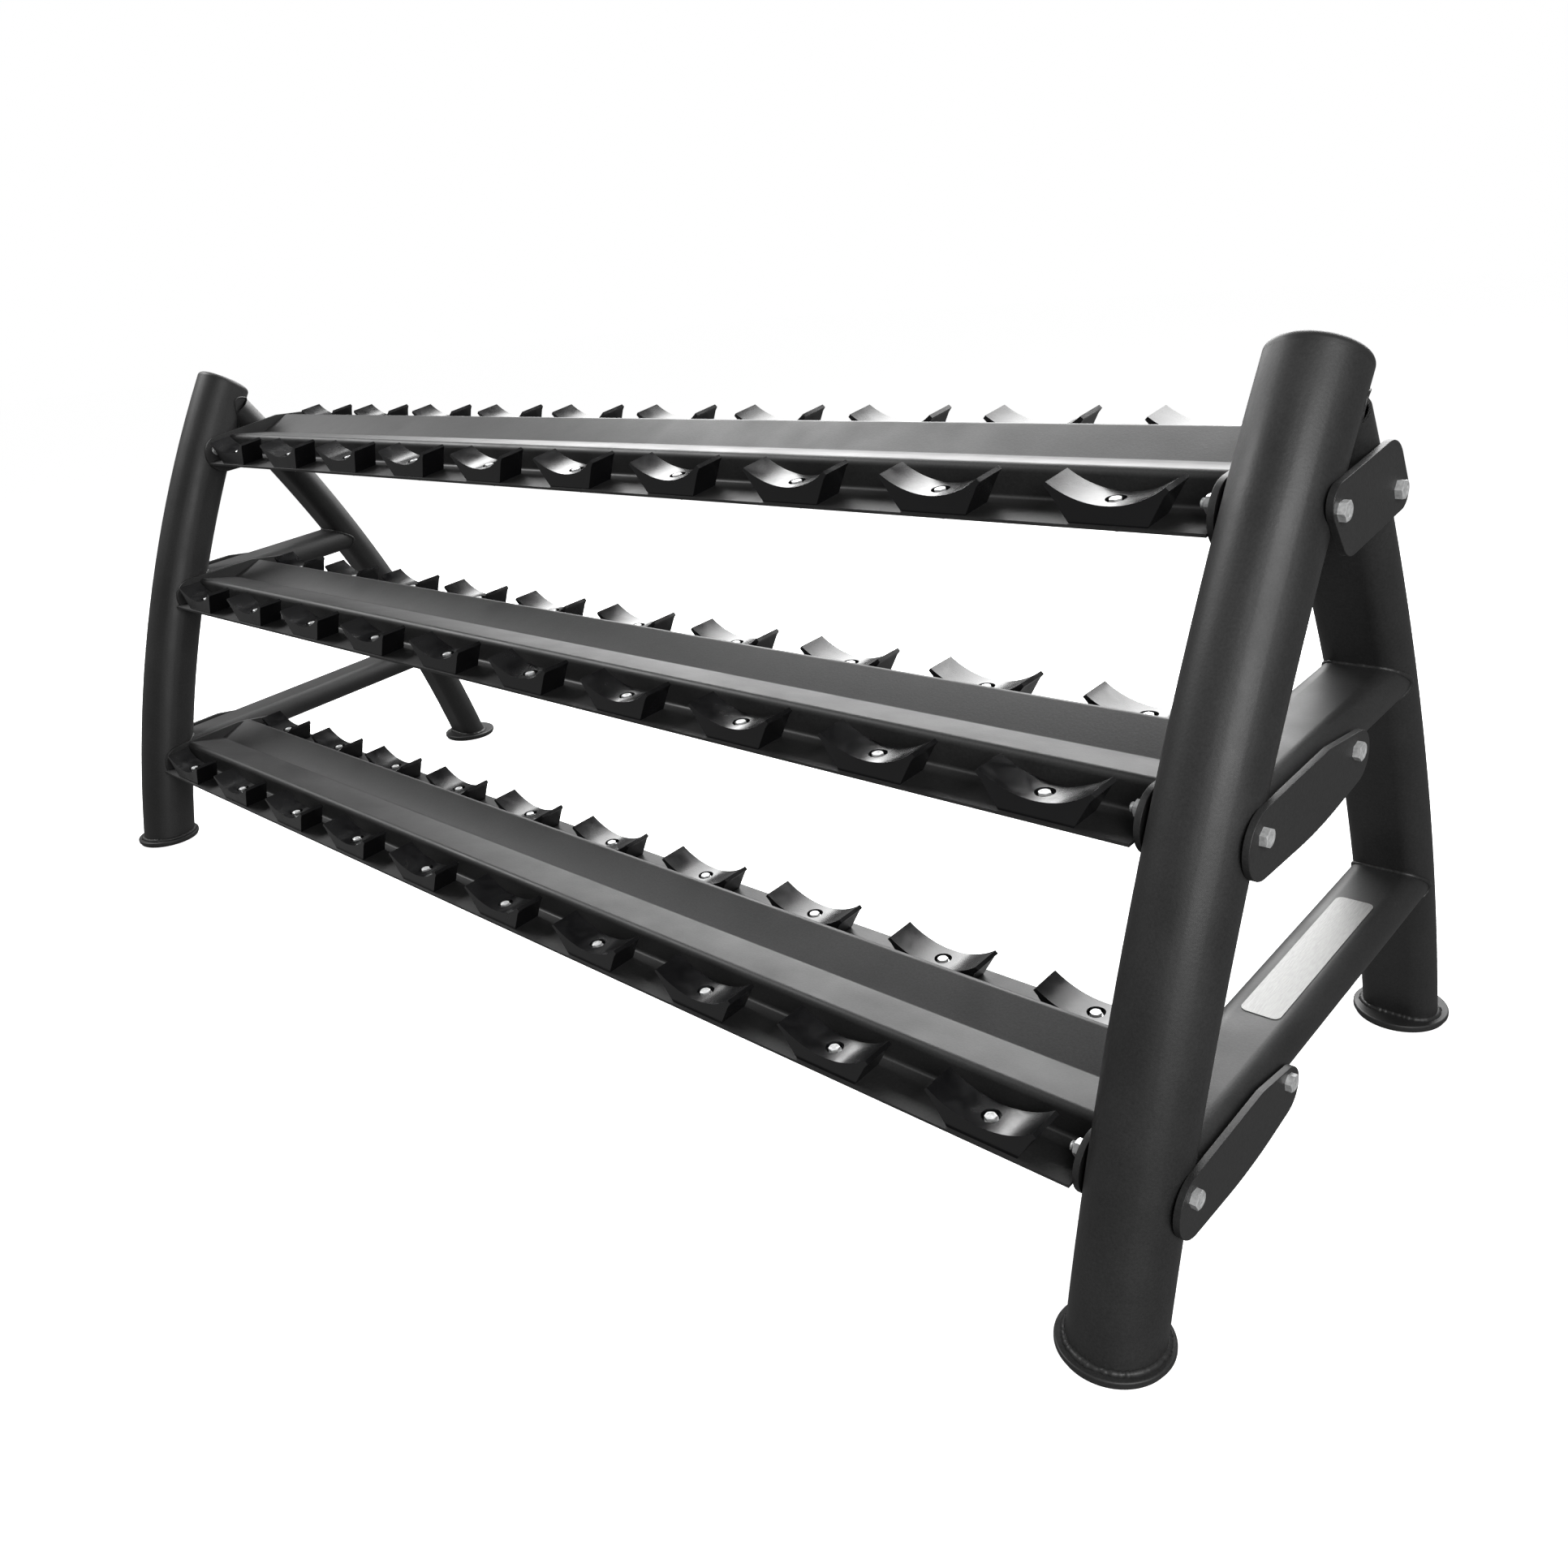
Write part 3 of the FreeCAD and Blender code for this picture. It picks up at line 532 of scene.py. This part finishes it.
def washer_ring(inner, outer, thickness):
    """A punched washer with its outer edge rolled over, standing on Z."""
    bm = turned([(inner, 0), (outer - 0.3, 0), (outer, 0.3), (outer, thickness - 0.3),
                 (outer - 0.3, thickness), (inner, thickness), (inner, 0)], 28)
    smooth_by_angle(bm, 30)
    return bm


def tilt_of(tier):
    """How far a tier leans back."""
    sizes = bpy.context.scene.rack_sizes
    return sizes.top_tilt if tier == "top" else sizes.lower_tilt


def tier_at(height):
    """The tier that a fastener at a height in metres belongs to."""
    between_tiers = (0.35, 0.7)
    return TIERS[sum(height >= level for level in between_tiers)]


def spun_about_own_axis(index):
    """A different, repeatable turn for each fastener, since no two stop at one angle."""
    return Matrix.Rotation(math.radians((index * FASTENER_TURN) % 60), 4, "Z")


def on_ledges(node):
    """Places of a saddle fastener's solids, with local Z square to the ledge."""
    places = []
    for index, centre in enumerate(solids_of(node)):
        lean = Matrix.Rotation(tilt_of(tier_at(centre.z)), 4, "X")
        places.append(Matrix.Translation(centre) @ lean @ spun_about_own_axis(index))
    return places


def on_ends(node):
    """Places of a frame fastener's solids, with local Z outwards from the rack's middle."""
    places = []
    for index, centre in enumerate(solids_of(node)):
        turn = Matrix.Rotation(math.copysign(math.pi / 2, centre.x), 4, "Y")
        places.append(Matrix.Translation(centre) @ turn @ spun_about_own_axis(index))
    return places


# ---------------------------------------------------------------- saddles


# Millimetres. Tip and seat are heights over the base, and recess is the floor under the
# screw's head.
SADDLE = {"base": 96, "width": 151, "tip": 46, "seat": 22, "depth": 46,
          "lip_reach": 6, "lip_drop": 10.5, "nose": 4, "recess": 16,
          "recess_radius": 12, "hole_radius": 4.5}


def saddle_blank():
    """The saddle's front view extruded through its depth, about the middle of its base."""
    half_width, tip, seat = SADDLE["width"] / 2, SADDLE["tip"], SADDLE["seat"]
    rise, reach = tip - seat, half_width - SADDLE["nose"]
    radius = (reach ** 2 + rise ** 2) / (2 * rise)
    sweep = 2 * math.asin(reach / radius)
    front = -SADDLE["depth"] / 2
    bm = bmesh.new()

    def point(x, z):
        return bm.verts.new((x * MM, front * MM, z * MM))

    start = point(reach, tip)
    arc = bmesh.ops.spin(bm, geom=[start], cent=(0, front * MM, (seat + radius) * MM),
                         axis=(0, 1, 0), angle=sweep, steps=28)
    end = [v for v in arc["geom_last"] if isinstance(v, bmesh.types.BMVert)][0]
    chain = [start]
    right = [(half_width, tip - SADDLE["nose"]),
             (half_width - SADDLE["lip_reach"], tip - SADDLE["lip_drop"]),
             (SADDLE["base"] / 2, 0)]
    chain += [point(x, z) for x, z in right] + [point(-x, z) for x, z in reversed(right)]
    chain.append(end)
    for a, b in zip(chain, chain[1:]):
        bm.edges.new((a, b))
    face = bmesh.ops.edgeloop_fill(bm, edges=bm.edges)["faces"]
    extruded = bmesh.ops.extrude_face_region(bm, geom=face)["geom"]
    moved = [v for v in extruded if isinstance(v, bmesh.types.BMVert)]
    bmesh.ops.translate(bm, verts=moved, vec=(0, SADDLE["depth"] * MM, 0))
    bmesh.ops.recalc_face_normals(bm, faces=bm.faces)
    return bm


def moulded_saddle(rounding):
    """One saddle with its screw recess, screw hole and rounded edges."""
    # The recess is cut down from over the tips, and the hole right through from below.
    recess = tool_object(cylinder(SADDLE["recess_radius"] * MM, SADDLE["recess"] * MM,
                                  60 * MM, 40))
    hole = tool_object(cylinder(SADDLE["hole_radius"] * MM, -5 * MM, 30 * MM, 24))
    cut = {"operation": "DIFFERENCE", "solver": "EXACT"}
    bm = shaped(saddle_blank(), [
        ("BOOLEAN", dict(cut, object=recess)),
        ("BOOLEAN", dict(cut, object=hole)),
        ("BEVEL", {"width": rounding, "segments": 3, "limit_method": "ANGLE",
                   "angle_limit": math.radians(28)}),
    ])
    drop_tools(recess, hole)
    smooth_by_angle(bm, 50)
    return bm


# ---------------------------------------------------------------- welds


def arc_centre(reach, radius, lean, towards):
    """Bend centre (y, z) of a tube whose foot point is on the floor, in millimetres."""
    return reach + towards * radius * math.cos(lean), -radius * math.sin(lean)


# The end frame in millimetres, as the CAD has it: feet, bends, tubes and rungs. The leans
# are those of the tubes at the floor, and at the top of the foot plates.
FOOT_REACH = 417
FOOT_TOP = 12.0
UPRIGHT = {"bend": 3000, "half": 54, "foot_lean": math.radians(10.8),
           "centre": arc_centre(-FOOT_REACH, 3000, math.radians(10.6), 1)}
LEG = {"bend": 2900, "half_width": 52, "half_depth": 30, "foot_lean": math.radians(16.2),
       "top_leans": (math.radians(30), math.radians(38)),
       "centre": arc_centre(FOOT_REACH, 2900, math.radians(16), -1)}
RUNG = {"half_width": 50.5, "half_depth": 26}
RUNG_HEIGHTS = {"lower": 197, "middle": 554}
FRAME_X = 1235
LOOP_POINTS = 72
WELD_STEP = 2.0


def past_upright(x, y, z):
    """How far (y, z) is behind the upright's rear face, at x from its middle."""
    from_centre = math.hypot(y - UPRIGHT["centre"][0], z - UPRIGHT["centre"][1])
    half = math.sqrt(max(0.0, UPRIGHT["half"] ** 2 - x * x))
    return (UPRIGHT["bend"] - half) - from_centre


def past_leg(x, y, z):
    """How far (y, z) is beyond the rear leg's front face, at x from its middle."""
    from_centre = math.hypot(y - LEG["centre"][0], z - LEG["centre"][1])
    straight = LEG["half_width"] - LEG["half_depth"]
    beyond = max(0.0, abs(x) - straight)
    half = math.sqrt(max(0.0, LEG["half_depth"] ** 2 - beyond ** 2))
    return from_centre - (LEG["bend"] - half)


def oval_points(half_width, half_depth):
    """Points round a flat oval as (across, depth)."""
    straight = half_width - half_depth
    points = []
    for n in range(LOOP_POINTS):
        angle = math.tau * n / LOOP_POINTS
        across, depth = math.cos(angle) * half_depth, math.sin(angle) * half_depth
        points.append((across + math.copysign(straight, across), depth))
    return points


def crossing(test, inside, outside):
    """The parameter between two at which a test changes sign."""
    for _ in range(40):
        middle = (inside + outside) / 2
        if test(middle) > 0:
            outside = middle
        else:
            inside = middle
    return (inside + outside) / 2


def upright_y(z):
    """Where the upright's axis is at a height."""
    y0, z0 = UPRIGHT["centre"]
    return y0 - math.sqrt(UPRIGHT["bend"] ** 2 - (z - z0) ** 2)


def rung_line(tier):
    """A function from (run, rise) to (y, z) for a rung."""
    height = RUNG_HEIGHTS[tier]
    tilt = tilt_of(tier)
    y0 = upright_y(height)
    return lambda run, rise: (y0 + run * math.cos(tilt) - rise * math.sin(tilt),
                              height + run * math.sin(tilt) + rise * math.cos(tilt))


def rung_loops(tier):
    """Where a rung meets the upright and the rear leg, as two closed loops of (x, y, z)."""
    line = rung_line(tier)
    at_upright, at_leg = [], []
    for x, rise in oval_points(RUNG["half_width"], RUNG["half_depth"]):
        run = crossing(lambda r: past_upright(x, *line(r, rise)), 0, 400)
        at_upright.append((x, *line(run, rise)))
        run = crossing(lambda r: past_leg(x, *line(r, rise)), 100, 900)
        at_leg.append((x, *line(run, rise)))
    return at_upright, at_leg


def leg_top_loop():
    """Where the rear leg meets the back of the upright."""
    loop = []
    y0, z0 = LEG["centre"]
    for x, depth in oval_points(LEG["half_width"], LEG["half_depth"]):
        radius = LEG["bend"] + depth

        def place(lean):
            return y0 + radius * math.cos(lean), z0 + radius * math.sin(lean)

        lean = crossing(lambda a: -past_upright(x, *place(a)), *LEG["top_leans"])
        loop.append((x, *place(lean)))
    return loop


def foot_loop(which):
    """Where a tube stands on its foot plate."""
    z = FOOT_TOP
    if which == "front":
        half, slant = UPRIGHT["half"], math.cos(UPRIGHT["foot_lean"])
        angles = [math.tau * n / LOOP_POINTS for n in range(LOOP_POINTS)]
        return [(math.cos(a) * half, upright_y(z) + math.sin(a) * half / slant, z)
                for a in angles]
    y0, z0 = LEG["centre"]
    axis_y = y0 + math.sqrt(LEG["bend"] ** 2 - (z - z0) ** 2)
    stretch = 1 / math.cos(LEG["foot_lean"])
    return [(x, axis_y + depth * stretch, z)
            for x, depth in oval_points(LEG["half_width"], LEG["half_depth"])]


def weld_bead(loop, radius, seed, ripple):
    """A closed bead along a loop of points in millimetres, swelling with each pass."""
    curve = bpy.data.curves.new("bead", "CURVE")
    curve.dimensions = "3D"
    curve.bevel_depth = radius
    curve.bevel_resolution = 2
    spline = curve.splines.new("POLY")
    dense = []
    for n, here in enumerate(loop):
        there = loop[(n + 1) % len(loop)]
        pieces = max(1, round((Vector(there) - Vector(here)).length / WELD_STEP))
        dense += [Vector(here).lerp(Vector(there), k / pieces) for k in range(pieces)]
    spline.points.add(len(dense) - 1)
    spline.use_cyclic_u = True
    for n, (point, spot) in enumerate(zip(spline.points, dense)):
        point.co = (*(spot * MM), 1)
        swell = noise.noise(Vector((n * 0.9, seed * 7.3, 0)))
        slow = noise.noise(Vector((n * 0.11, seed * 3.1, 5)))
        point.radius = 1 + ripple * swell + 0.3 * slow
    work = bpy.data.objects.new("bead", curve)
    bpy.context.scene.collection.objects.link(work)
    bpy.context.view_layer.update()
    mesh = bpy.data.meshes.new_from_object(
        work.evaluated_get(bpy.context.evaluated_depsgraph_get()))
    bm = bmesh.new()
    bm.from_mesh(mesh)
    bpy.data.objects.remove(work)
    bpy.data.curves.remove(curve)
    bpy.data.meshes.remove(mesh)
    for face in bm.faces:
        face.smooth = True
    return bm


# ---------------------------------------------------------------- operators

coats = {}

# Rounded edges in millimetres; the side plates' rounding is one of the sizes.
ROUNDING = {"shelf": 0.6, "foot_plate": 2.4, "foot_pad": 0.8}

# Where knocks have gone through the coat of the right-hand upright: start, end, width.
SCRATCHES = (
    ((1263, -242, 601), (1287, -198, 588), 0.7),
    ((1270, -250, 594), (1282, -222, 585), 0.6),
    ((1244, -133, 925), (1256, -118, 925), 0.8),
)


def coat(kind):
    """The rack's materials, each made once."""
    colours = bpy.context.scene.rack_colours
    if not coats:
        coats["frame"] = powder_coat(colours.coat[:])
        coats["upright"] = scratched(powder_coat(colours.coat[:], "Powder Coated Upright"),
                                     SCRATCHES, hex_colour("#6f6f70"))
        coats["saddle"] = moulded_plastic(colours.moulding[:])
        coats["cap"] = moulded_plastic(shade(colours.coat[:], 0.85), "Moulded Polyethylene",
                                       0.5, 0.22)
        coats["zinc"] = zinc_plate(colours.zinc[:])
        coats["plate"] = brushed_plate(colours.plate[:])
        coats["rubber"] = pad_rubber()
    return coats[kind]


def rounded_skin(node, material, width, segments=2):
    """A CAD node's own shape with its hard edges slightly rounded."""
    bm = shaped(merged_copy(node, flatten=True), [("BEVEL", {
        "width": width, "segments": segments, "limit_method": "ANGLE",
        "angle_limit": math.radians(40)})])
    smooth_by_angle(bm, 50)
    even_shading(finish_piece(node + "_skin", bm, material, [node]))


def smooth_skin(node, material, flatten=False):
    """A CAD node's own shape with its curved faces shaded smooth."""
    bm = merged_copy(node, flatten)
    smooth_by_angle(bm, 28)
    even_shading(finish_piece(node + "_skin", bm, material, [node]))


def raised(bm, height):
    """A bmesh moved up by a height in millimetres."""
    bmesh.ops.translate(bm, verts=bm.verts, vec=(0, 0, height * MM))
    return bm


def fit_fasteners(bolts, washers, nuts, sizes, flats, length, places):
    """Turn a kind of bolt, its washers and its nuts, in place of their three CAD nodes.

    Heights are measured from the middle of each CAD solid.
    """
    top, bottom = length / 2 - sizes["head"], -length / 2
    head = raised(bolt_head(flats, sizes["head"] * MM), top)
    rod = threaded_rod(sizes["diameter"], bottom, top, bottom + sizes["thread"],
                       sizes["pitch"])
    ring = raised(washer_ring(*sizes["washer"]), -sizes["washer"][2] / 2)
    nut = raised(nut_block(flats, sizes["nut"] * MM, sizes["nut_bore"] * MM),
                 -sizes["nut"] / 2)
    for node, bm in ((bolts, joined(head, rod)), (washers, ring), (nuts, nut)):
        finish_piece(node + "_turned", many(bm, places(node)), coat("zinc"), [node])


class RackTubes(bpy.types.Operator):
    """Coat the uprights, rear legs and rungs"""
    bl_idname = "rack.tubes"
    bl_label = "Tubes"

    def execute(self, context):
        for side, _ in SIDES:
            for part in ("upright", "rear_leg", "middle_rung", "lower_rung"):
                finish = coat("upright" if part == "upright" else "frame")
                smooth_skin("%s_%s" % (side, part), finish,
                            flatten=part.endswith("rung"))
        return {"FINISHED"}


class RackPlates(bpy.types.Operator):
    """Round and coat the side plates"""
    bl_idname = "rack.plates"
    bl_label = "Side Plates"

    def execute(self, context):
        width = context.scene.rack_sizes.plate_round
        for side, _ in SIDES:
            for tier in TIERS:
                for face in ("outer", "inner"):
                    rounded_skin("%s_%s_%s_plate" % (side, tier, face), coat("frame"),
                                 width)
        return {"FINISHED"}


class RackShelves(bpy.types.Operator):
    """Coat the folded shelves"""
    bl_idname = "rack.shelves"
    bl_label = "Shelves"

    def execute(self, context):
        for tier in TIERS:
            rounded_skin(tier + "_shelf", coat("frame"),
                         ROUNDING["shelf"] * MM)
        return {"FINISHED"}


class RackFeet(bpy.types.Operator):
    """Coat the foot plates, and finish the pads and the upright caps"""
    bl_idname = "rack.feet"
    bl_label = "Feet and Caps"

    def execute(self, context):
        for side, _ in SIDES:
            smooth_skin(side + "_upright_cap", coat("cap"))
            for end in ("front", "rear"):
                rounded_skin("%s_%s_foot_plate" % (side, end), coat("frame"),
                             ROUNDING["foot_plate"] * MM, segments=4)
                rounded_skin("%s_%s_foot_pad" % (side, end), coat("rubber"),
                             ROUNDING["foot_pad"] * MM)
        return {"FINISHED"}


class RackWelds(bpy.types.Operator):
    """Lay weld beads where the tubes join each other and the foot plates"""
    bl_idname = "rack.welds"
    bl_label = "Welds"

    def execute(self, context):
        radius = context.scene.rack_sizes.weld_radius
        for side, sign in SIDES:
            # Each loop with its bead's size and how unevenly it swells.
            loops = [(foot_loop("front"), 1.6, 0.5), (foot_loop("rear"), 1.6, 0.5),
                     (leg_top_loop(), 0.6, 0.3)]
            for tier in RUNG_HEIGHTS:
                loops += [(loop, 1.0, 0.3) for loop in rung_loops(tier)]
            beads = []
            for n, (loop, size, ripple) in enumerate(loops):
                placed = [(x + sign * FRAME_X, y, z) for x, y, z in loop]
                beads.append(weld_bead(placed, radius * size, n + 10 * sign, ripple))
            finish_piece(side + "_welds", joined(*beads), coat("frame"))
        return {"FINISHED"}


class RackSaddles(bpy.types.Operator):
    """Mould the saddles"""
    bl_idname = "rack.saddles"
    bl_label = "Saddles"

    def execute(self, context):
        for tier in TIERS:
            lean = Matrix.Rotation(tilt_of(tier), 4, "X")
            to_base = Matrix.Translation((0, 0, -SADDLE["tip"] / 2 * MM))
            for row in ("front", "rear"):
                node = "%s_%s_saddles" % (tier, row)
                centres = solids_of(node)
                if len(centres) != PLACES_A_ROW:
                    raise RuntimeError("%s has %d saddles" % (node, len(centres)))
                places = [Matrix.Translation(c) @ lean @ to_base for c in centres]
                bm = many(moulded_saddle(context.scene.rack_sizes.saddle_round), places)
                even_shading(finish_piece(node + "_moulded", bm, coat("saddle"),
                                          [node]))
        return {"FINISHED"}


class RackScrews(bpy.types.Operator):
    """Fit the saddle screws, washers and nuts"""
    bl_idname = "rack.screws"
    bl_label = "Saddle Screws"

    def execute(self, context):
        flats = context.scene.rack_sizes.screw_flats
        length = (SCREW["head"] + SADDLE["recess"] + SCREW["washer"][2] + SCREW["ledge"]
                  + SCREW["nut"] + SCREW["spare"])
        fit_fasteners("saddle_screws", "saddle_washers", "saddle_nuts", SCREW, flats, length,
                      on_ledges)
        return {"FINISHED"}


class RackBolts(bpy.types.Operator):
    """Fit the frame bolts, washers and nuts"""
    bl_idname = "rack.bolts"
    bl_label = "Frame Bolts"

    def execute(self, context):
        flats = context.scene.rack_sizes.bolt_flats
        length = BOLT["head"] + BOLT["grip"] + BOLT["washer"][2] + BOLT["nut"] + BOLT["spare"]
        fit_fasteners("frame_bolts", "frame_washers", "frame_nuts", BOLT, flats, length,
                      on_ends)
        return {"FINISHED"}


class RackNamePlate(bpy.types.Operator):
    """Brush the blank name plate"""
    bl_idname = "rack.name_plate"
    bl_label = "Name Plate"

    def execute(self, context):
        set_material(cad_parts["name_plate"], coat("plate"))
        return {"FINISHED"}


# Soft lights in metres and watts: name, place, target, size, power.
SOFTBOXES = (
    ("overhead", (-0.8, 2.5, 2.6), (0, 0, 0.6), (5.0, 2.4), 300),
    ("end", (3.4, -1.8, 1.9), (1.2, 0, 0.5), (1.8, 1.8), 100),
    ("far", (-3.2, -1.0, 3.2), (-0.2, 0, 0.8), (1.8, 1.2), 110),
)
CAMERA_PLACE = (1.777, -1.387, 1.095)
CAMERA_ANGLES = (45.04, 21.26, -4.96)  # yaw, pitch downwards and roll, in degrees
CAMERA_LENS = 29.65
BACKDROP_LIGHT = 0.22  # how strongly the white world lights the rack


def softbox(name, place, target, size, watts):
    """A rectangular area light facing a point."""
    light = bpy.data.lights.new(name, "AREA")
    light.shape = "RECTANGLE"
    light.size, light.size_y = size
    light.energy = watts
    lamp = bpy.data.objects.new(name, light)
    bpy.context.scene.collection.objects.link(lamp)
    lamp.location = place
    lamp.rotation_euler = (Vector(target) - Vector(place)).to_track_quat("-Z", "Y").to_euler()


def studio_floor():
    """A flat pale floor, bright enough to meet the white backdrop without an edge."""
    bm = bmesh.new()
    bmesh.ops.create_grid(bm, x_segments=1, y_segments=1, size=30)
    mesh = bpy.data.meshes.new("floor")
    bm.to_mesh(mesh)
    bm.free()
    floor = bpy.data.objects.new("floor", mesh)
    bpy.context.scene.collection.objects.link(floor)
    material, _, shader = new_material("Studio Floor")
    shader.inputs["Base Color"].default_value = hex_colour("#f2f2f2")
    shader.inputs["Roughness"].default_value = 0.9
    shader.inputs["Emission Color"].default_value = hex_colour("#ffffff")
    shader.inputs["Emission Strength"].default_value = 0.8
    set_material(floor, material)
    floor.visible_diffuse = False
    floor.visible_glossy = False


def white_backdrop(scene):
    """A world that is white behind the rack but lights it only a little."""
    world = bpy.data.worlds.new("studio")
    scene.world = world
    world.use_nodes = True
    tree = world.node_tree
    background = tree.nodes["Background"]
    background.inputs["Color"].default_value = hex_colour("#ffffff")
    path = add_node(tree, "ShaderNodeLightPath")
    level = remap(tree, path.outputs["Is Camera Ray"], BACKDROP_LIGHT, 1.0)
    tree.links.new(level, background.inputs["Strength"])


def rack_camera():
    """The camera, standing at the right-hand end and looking along the rack."""
    yaw, pitch, roll = (math.radians(a) for a in CAMERA_ANGLES)
    forward = Vector((-math.sin(yaw) * math.cos(pitch), math.cos(yaw) * math.cos(pitch),
                      -math.sin(pitch)))
    level = Vector((math.cos(yaw), math.sin(yaw), 0))
    upward = level.cross(forward)
    right = math.cos(roll) * level + math.sin(roll) * upward
    up = -math.sin(roll) * level + math.cos(roll) * upward
    data = bpy.data.cameras.new("camera")
    data.sensor_width = 36
    data.lens = CAMERA_LENS
    camera = bpy.data.objects.new("camera", data)
    bpy.context.scene.collection.objects.link(camera)
    turn = Matrix((right, up, -forward)).transposed().to_4x4()
    camera.matrix_world = Matrix.Translation(CAMERA_PLACE) @ turn
    bpy.context.scene.camera = camera


class RackStage(bpy.types.Operator):
    """Set the floor, the soft lights and the camera"""
    bl_idname = "rack.stage"
    bl_label = "Stage"

    def execute(self, context):
        studio_floor()
        for box in SOFTBOXES:
            softbox(*box)
        white_backdrop(context.scene)
        rack_camera()
        context.scene.view_settings.view_transform = "Standard"
        return {"FINISHED"}


# ---------------------------------------------------------------- add-on

OPERATORS = (RackTubes, RackPlates, RackShelves, RackFeet, RackWelds, RackSaddles,
             RackScrews, RackBolts, RackNamePlate, RackStage)


class RackPanel(bpy.types.Panel):
    """Sizes, colours and steps of the dumbbell rack"""
    bl_idname = "VIEW3D_PT_rack"
    bl_label = "Dumbbell Rack"
    bl_space_type = "VIEW_3D"
    bl_region_type = "UI"
    bl_category = "Rack"

    def draw(self, context):
        for group in (context.scene.rack_sizes, context.scene.rack_colours):
            box = self.layout.box()
            for name in group.bl_rna.properties.keys():
                if name not in ("rna_type", "name"):
                    box.prop(group, name)
        column = self.layout.column(align=True)
        for step in OPERATORS:
            column.operator(step.bl_idname)


CLASSES = (RackSizes, RackColours, *OPERATORS, RackPanel)


def register():
    for each in CLASSES:
        bpy.utils.register_class(each)
    bpy.types.Scene.rack_sizes = PointerProperty(type=RackSizes)
    bpy.types.Scene.rack_colours = PointerProperty(type=RackColours)


def unregister():
    del bpy.types.Scene.rack_colours
    del bpy.types.Scene.rack_sizes
    for each in reversed(CLASSES):
        bpy.utils.unregister_class(each)


def main():
    register()
    bpy.ops.rack.tubes()
    bpy.ops.rack.plates()
    bpy.ops.rack.shelves()
    bpy.ops.rack.feet()
    bpy.ops.rack.welds()
    bpy.ops.rack.saddles()
    bpy.ops.rack.screws()
    bpy.ops.rack.bolts()
    bpy.ops.rack.name_plate()
    bpy.ops.rack.stage()


if __name__ == "__main__":
    main()
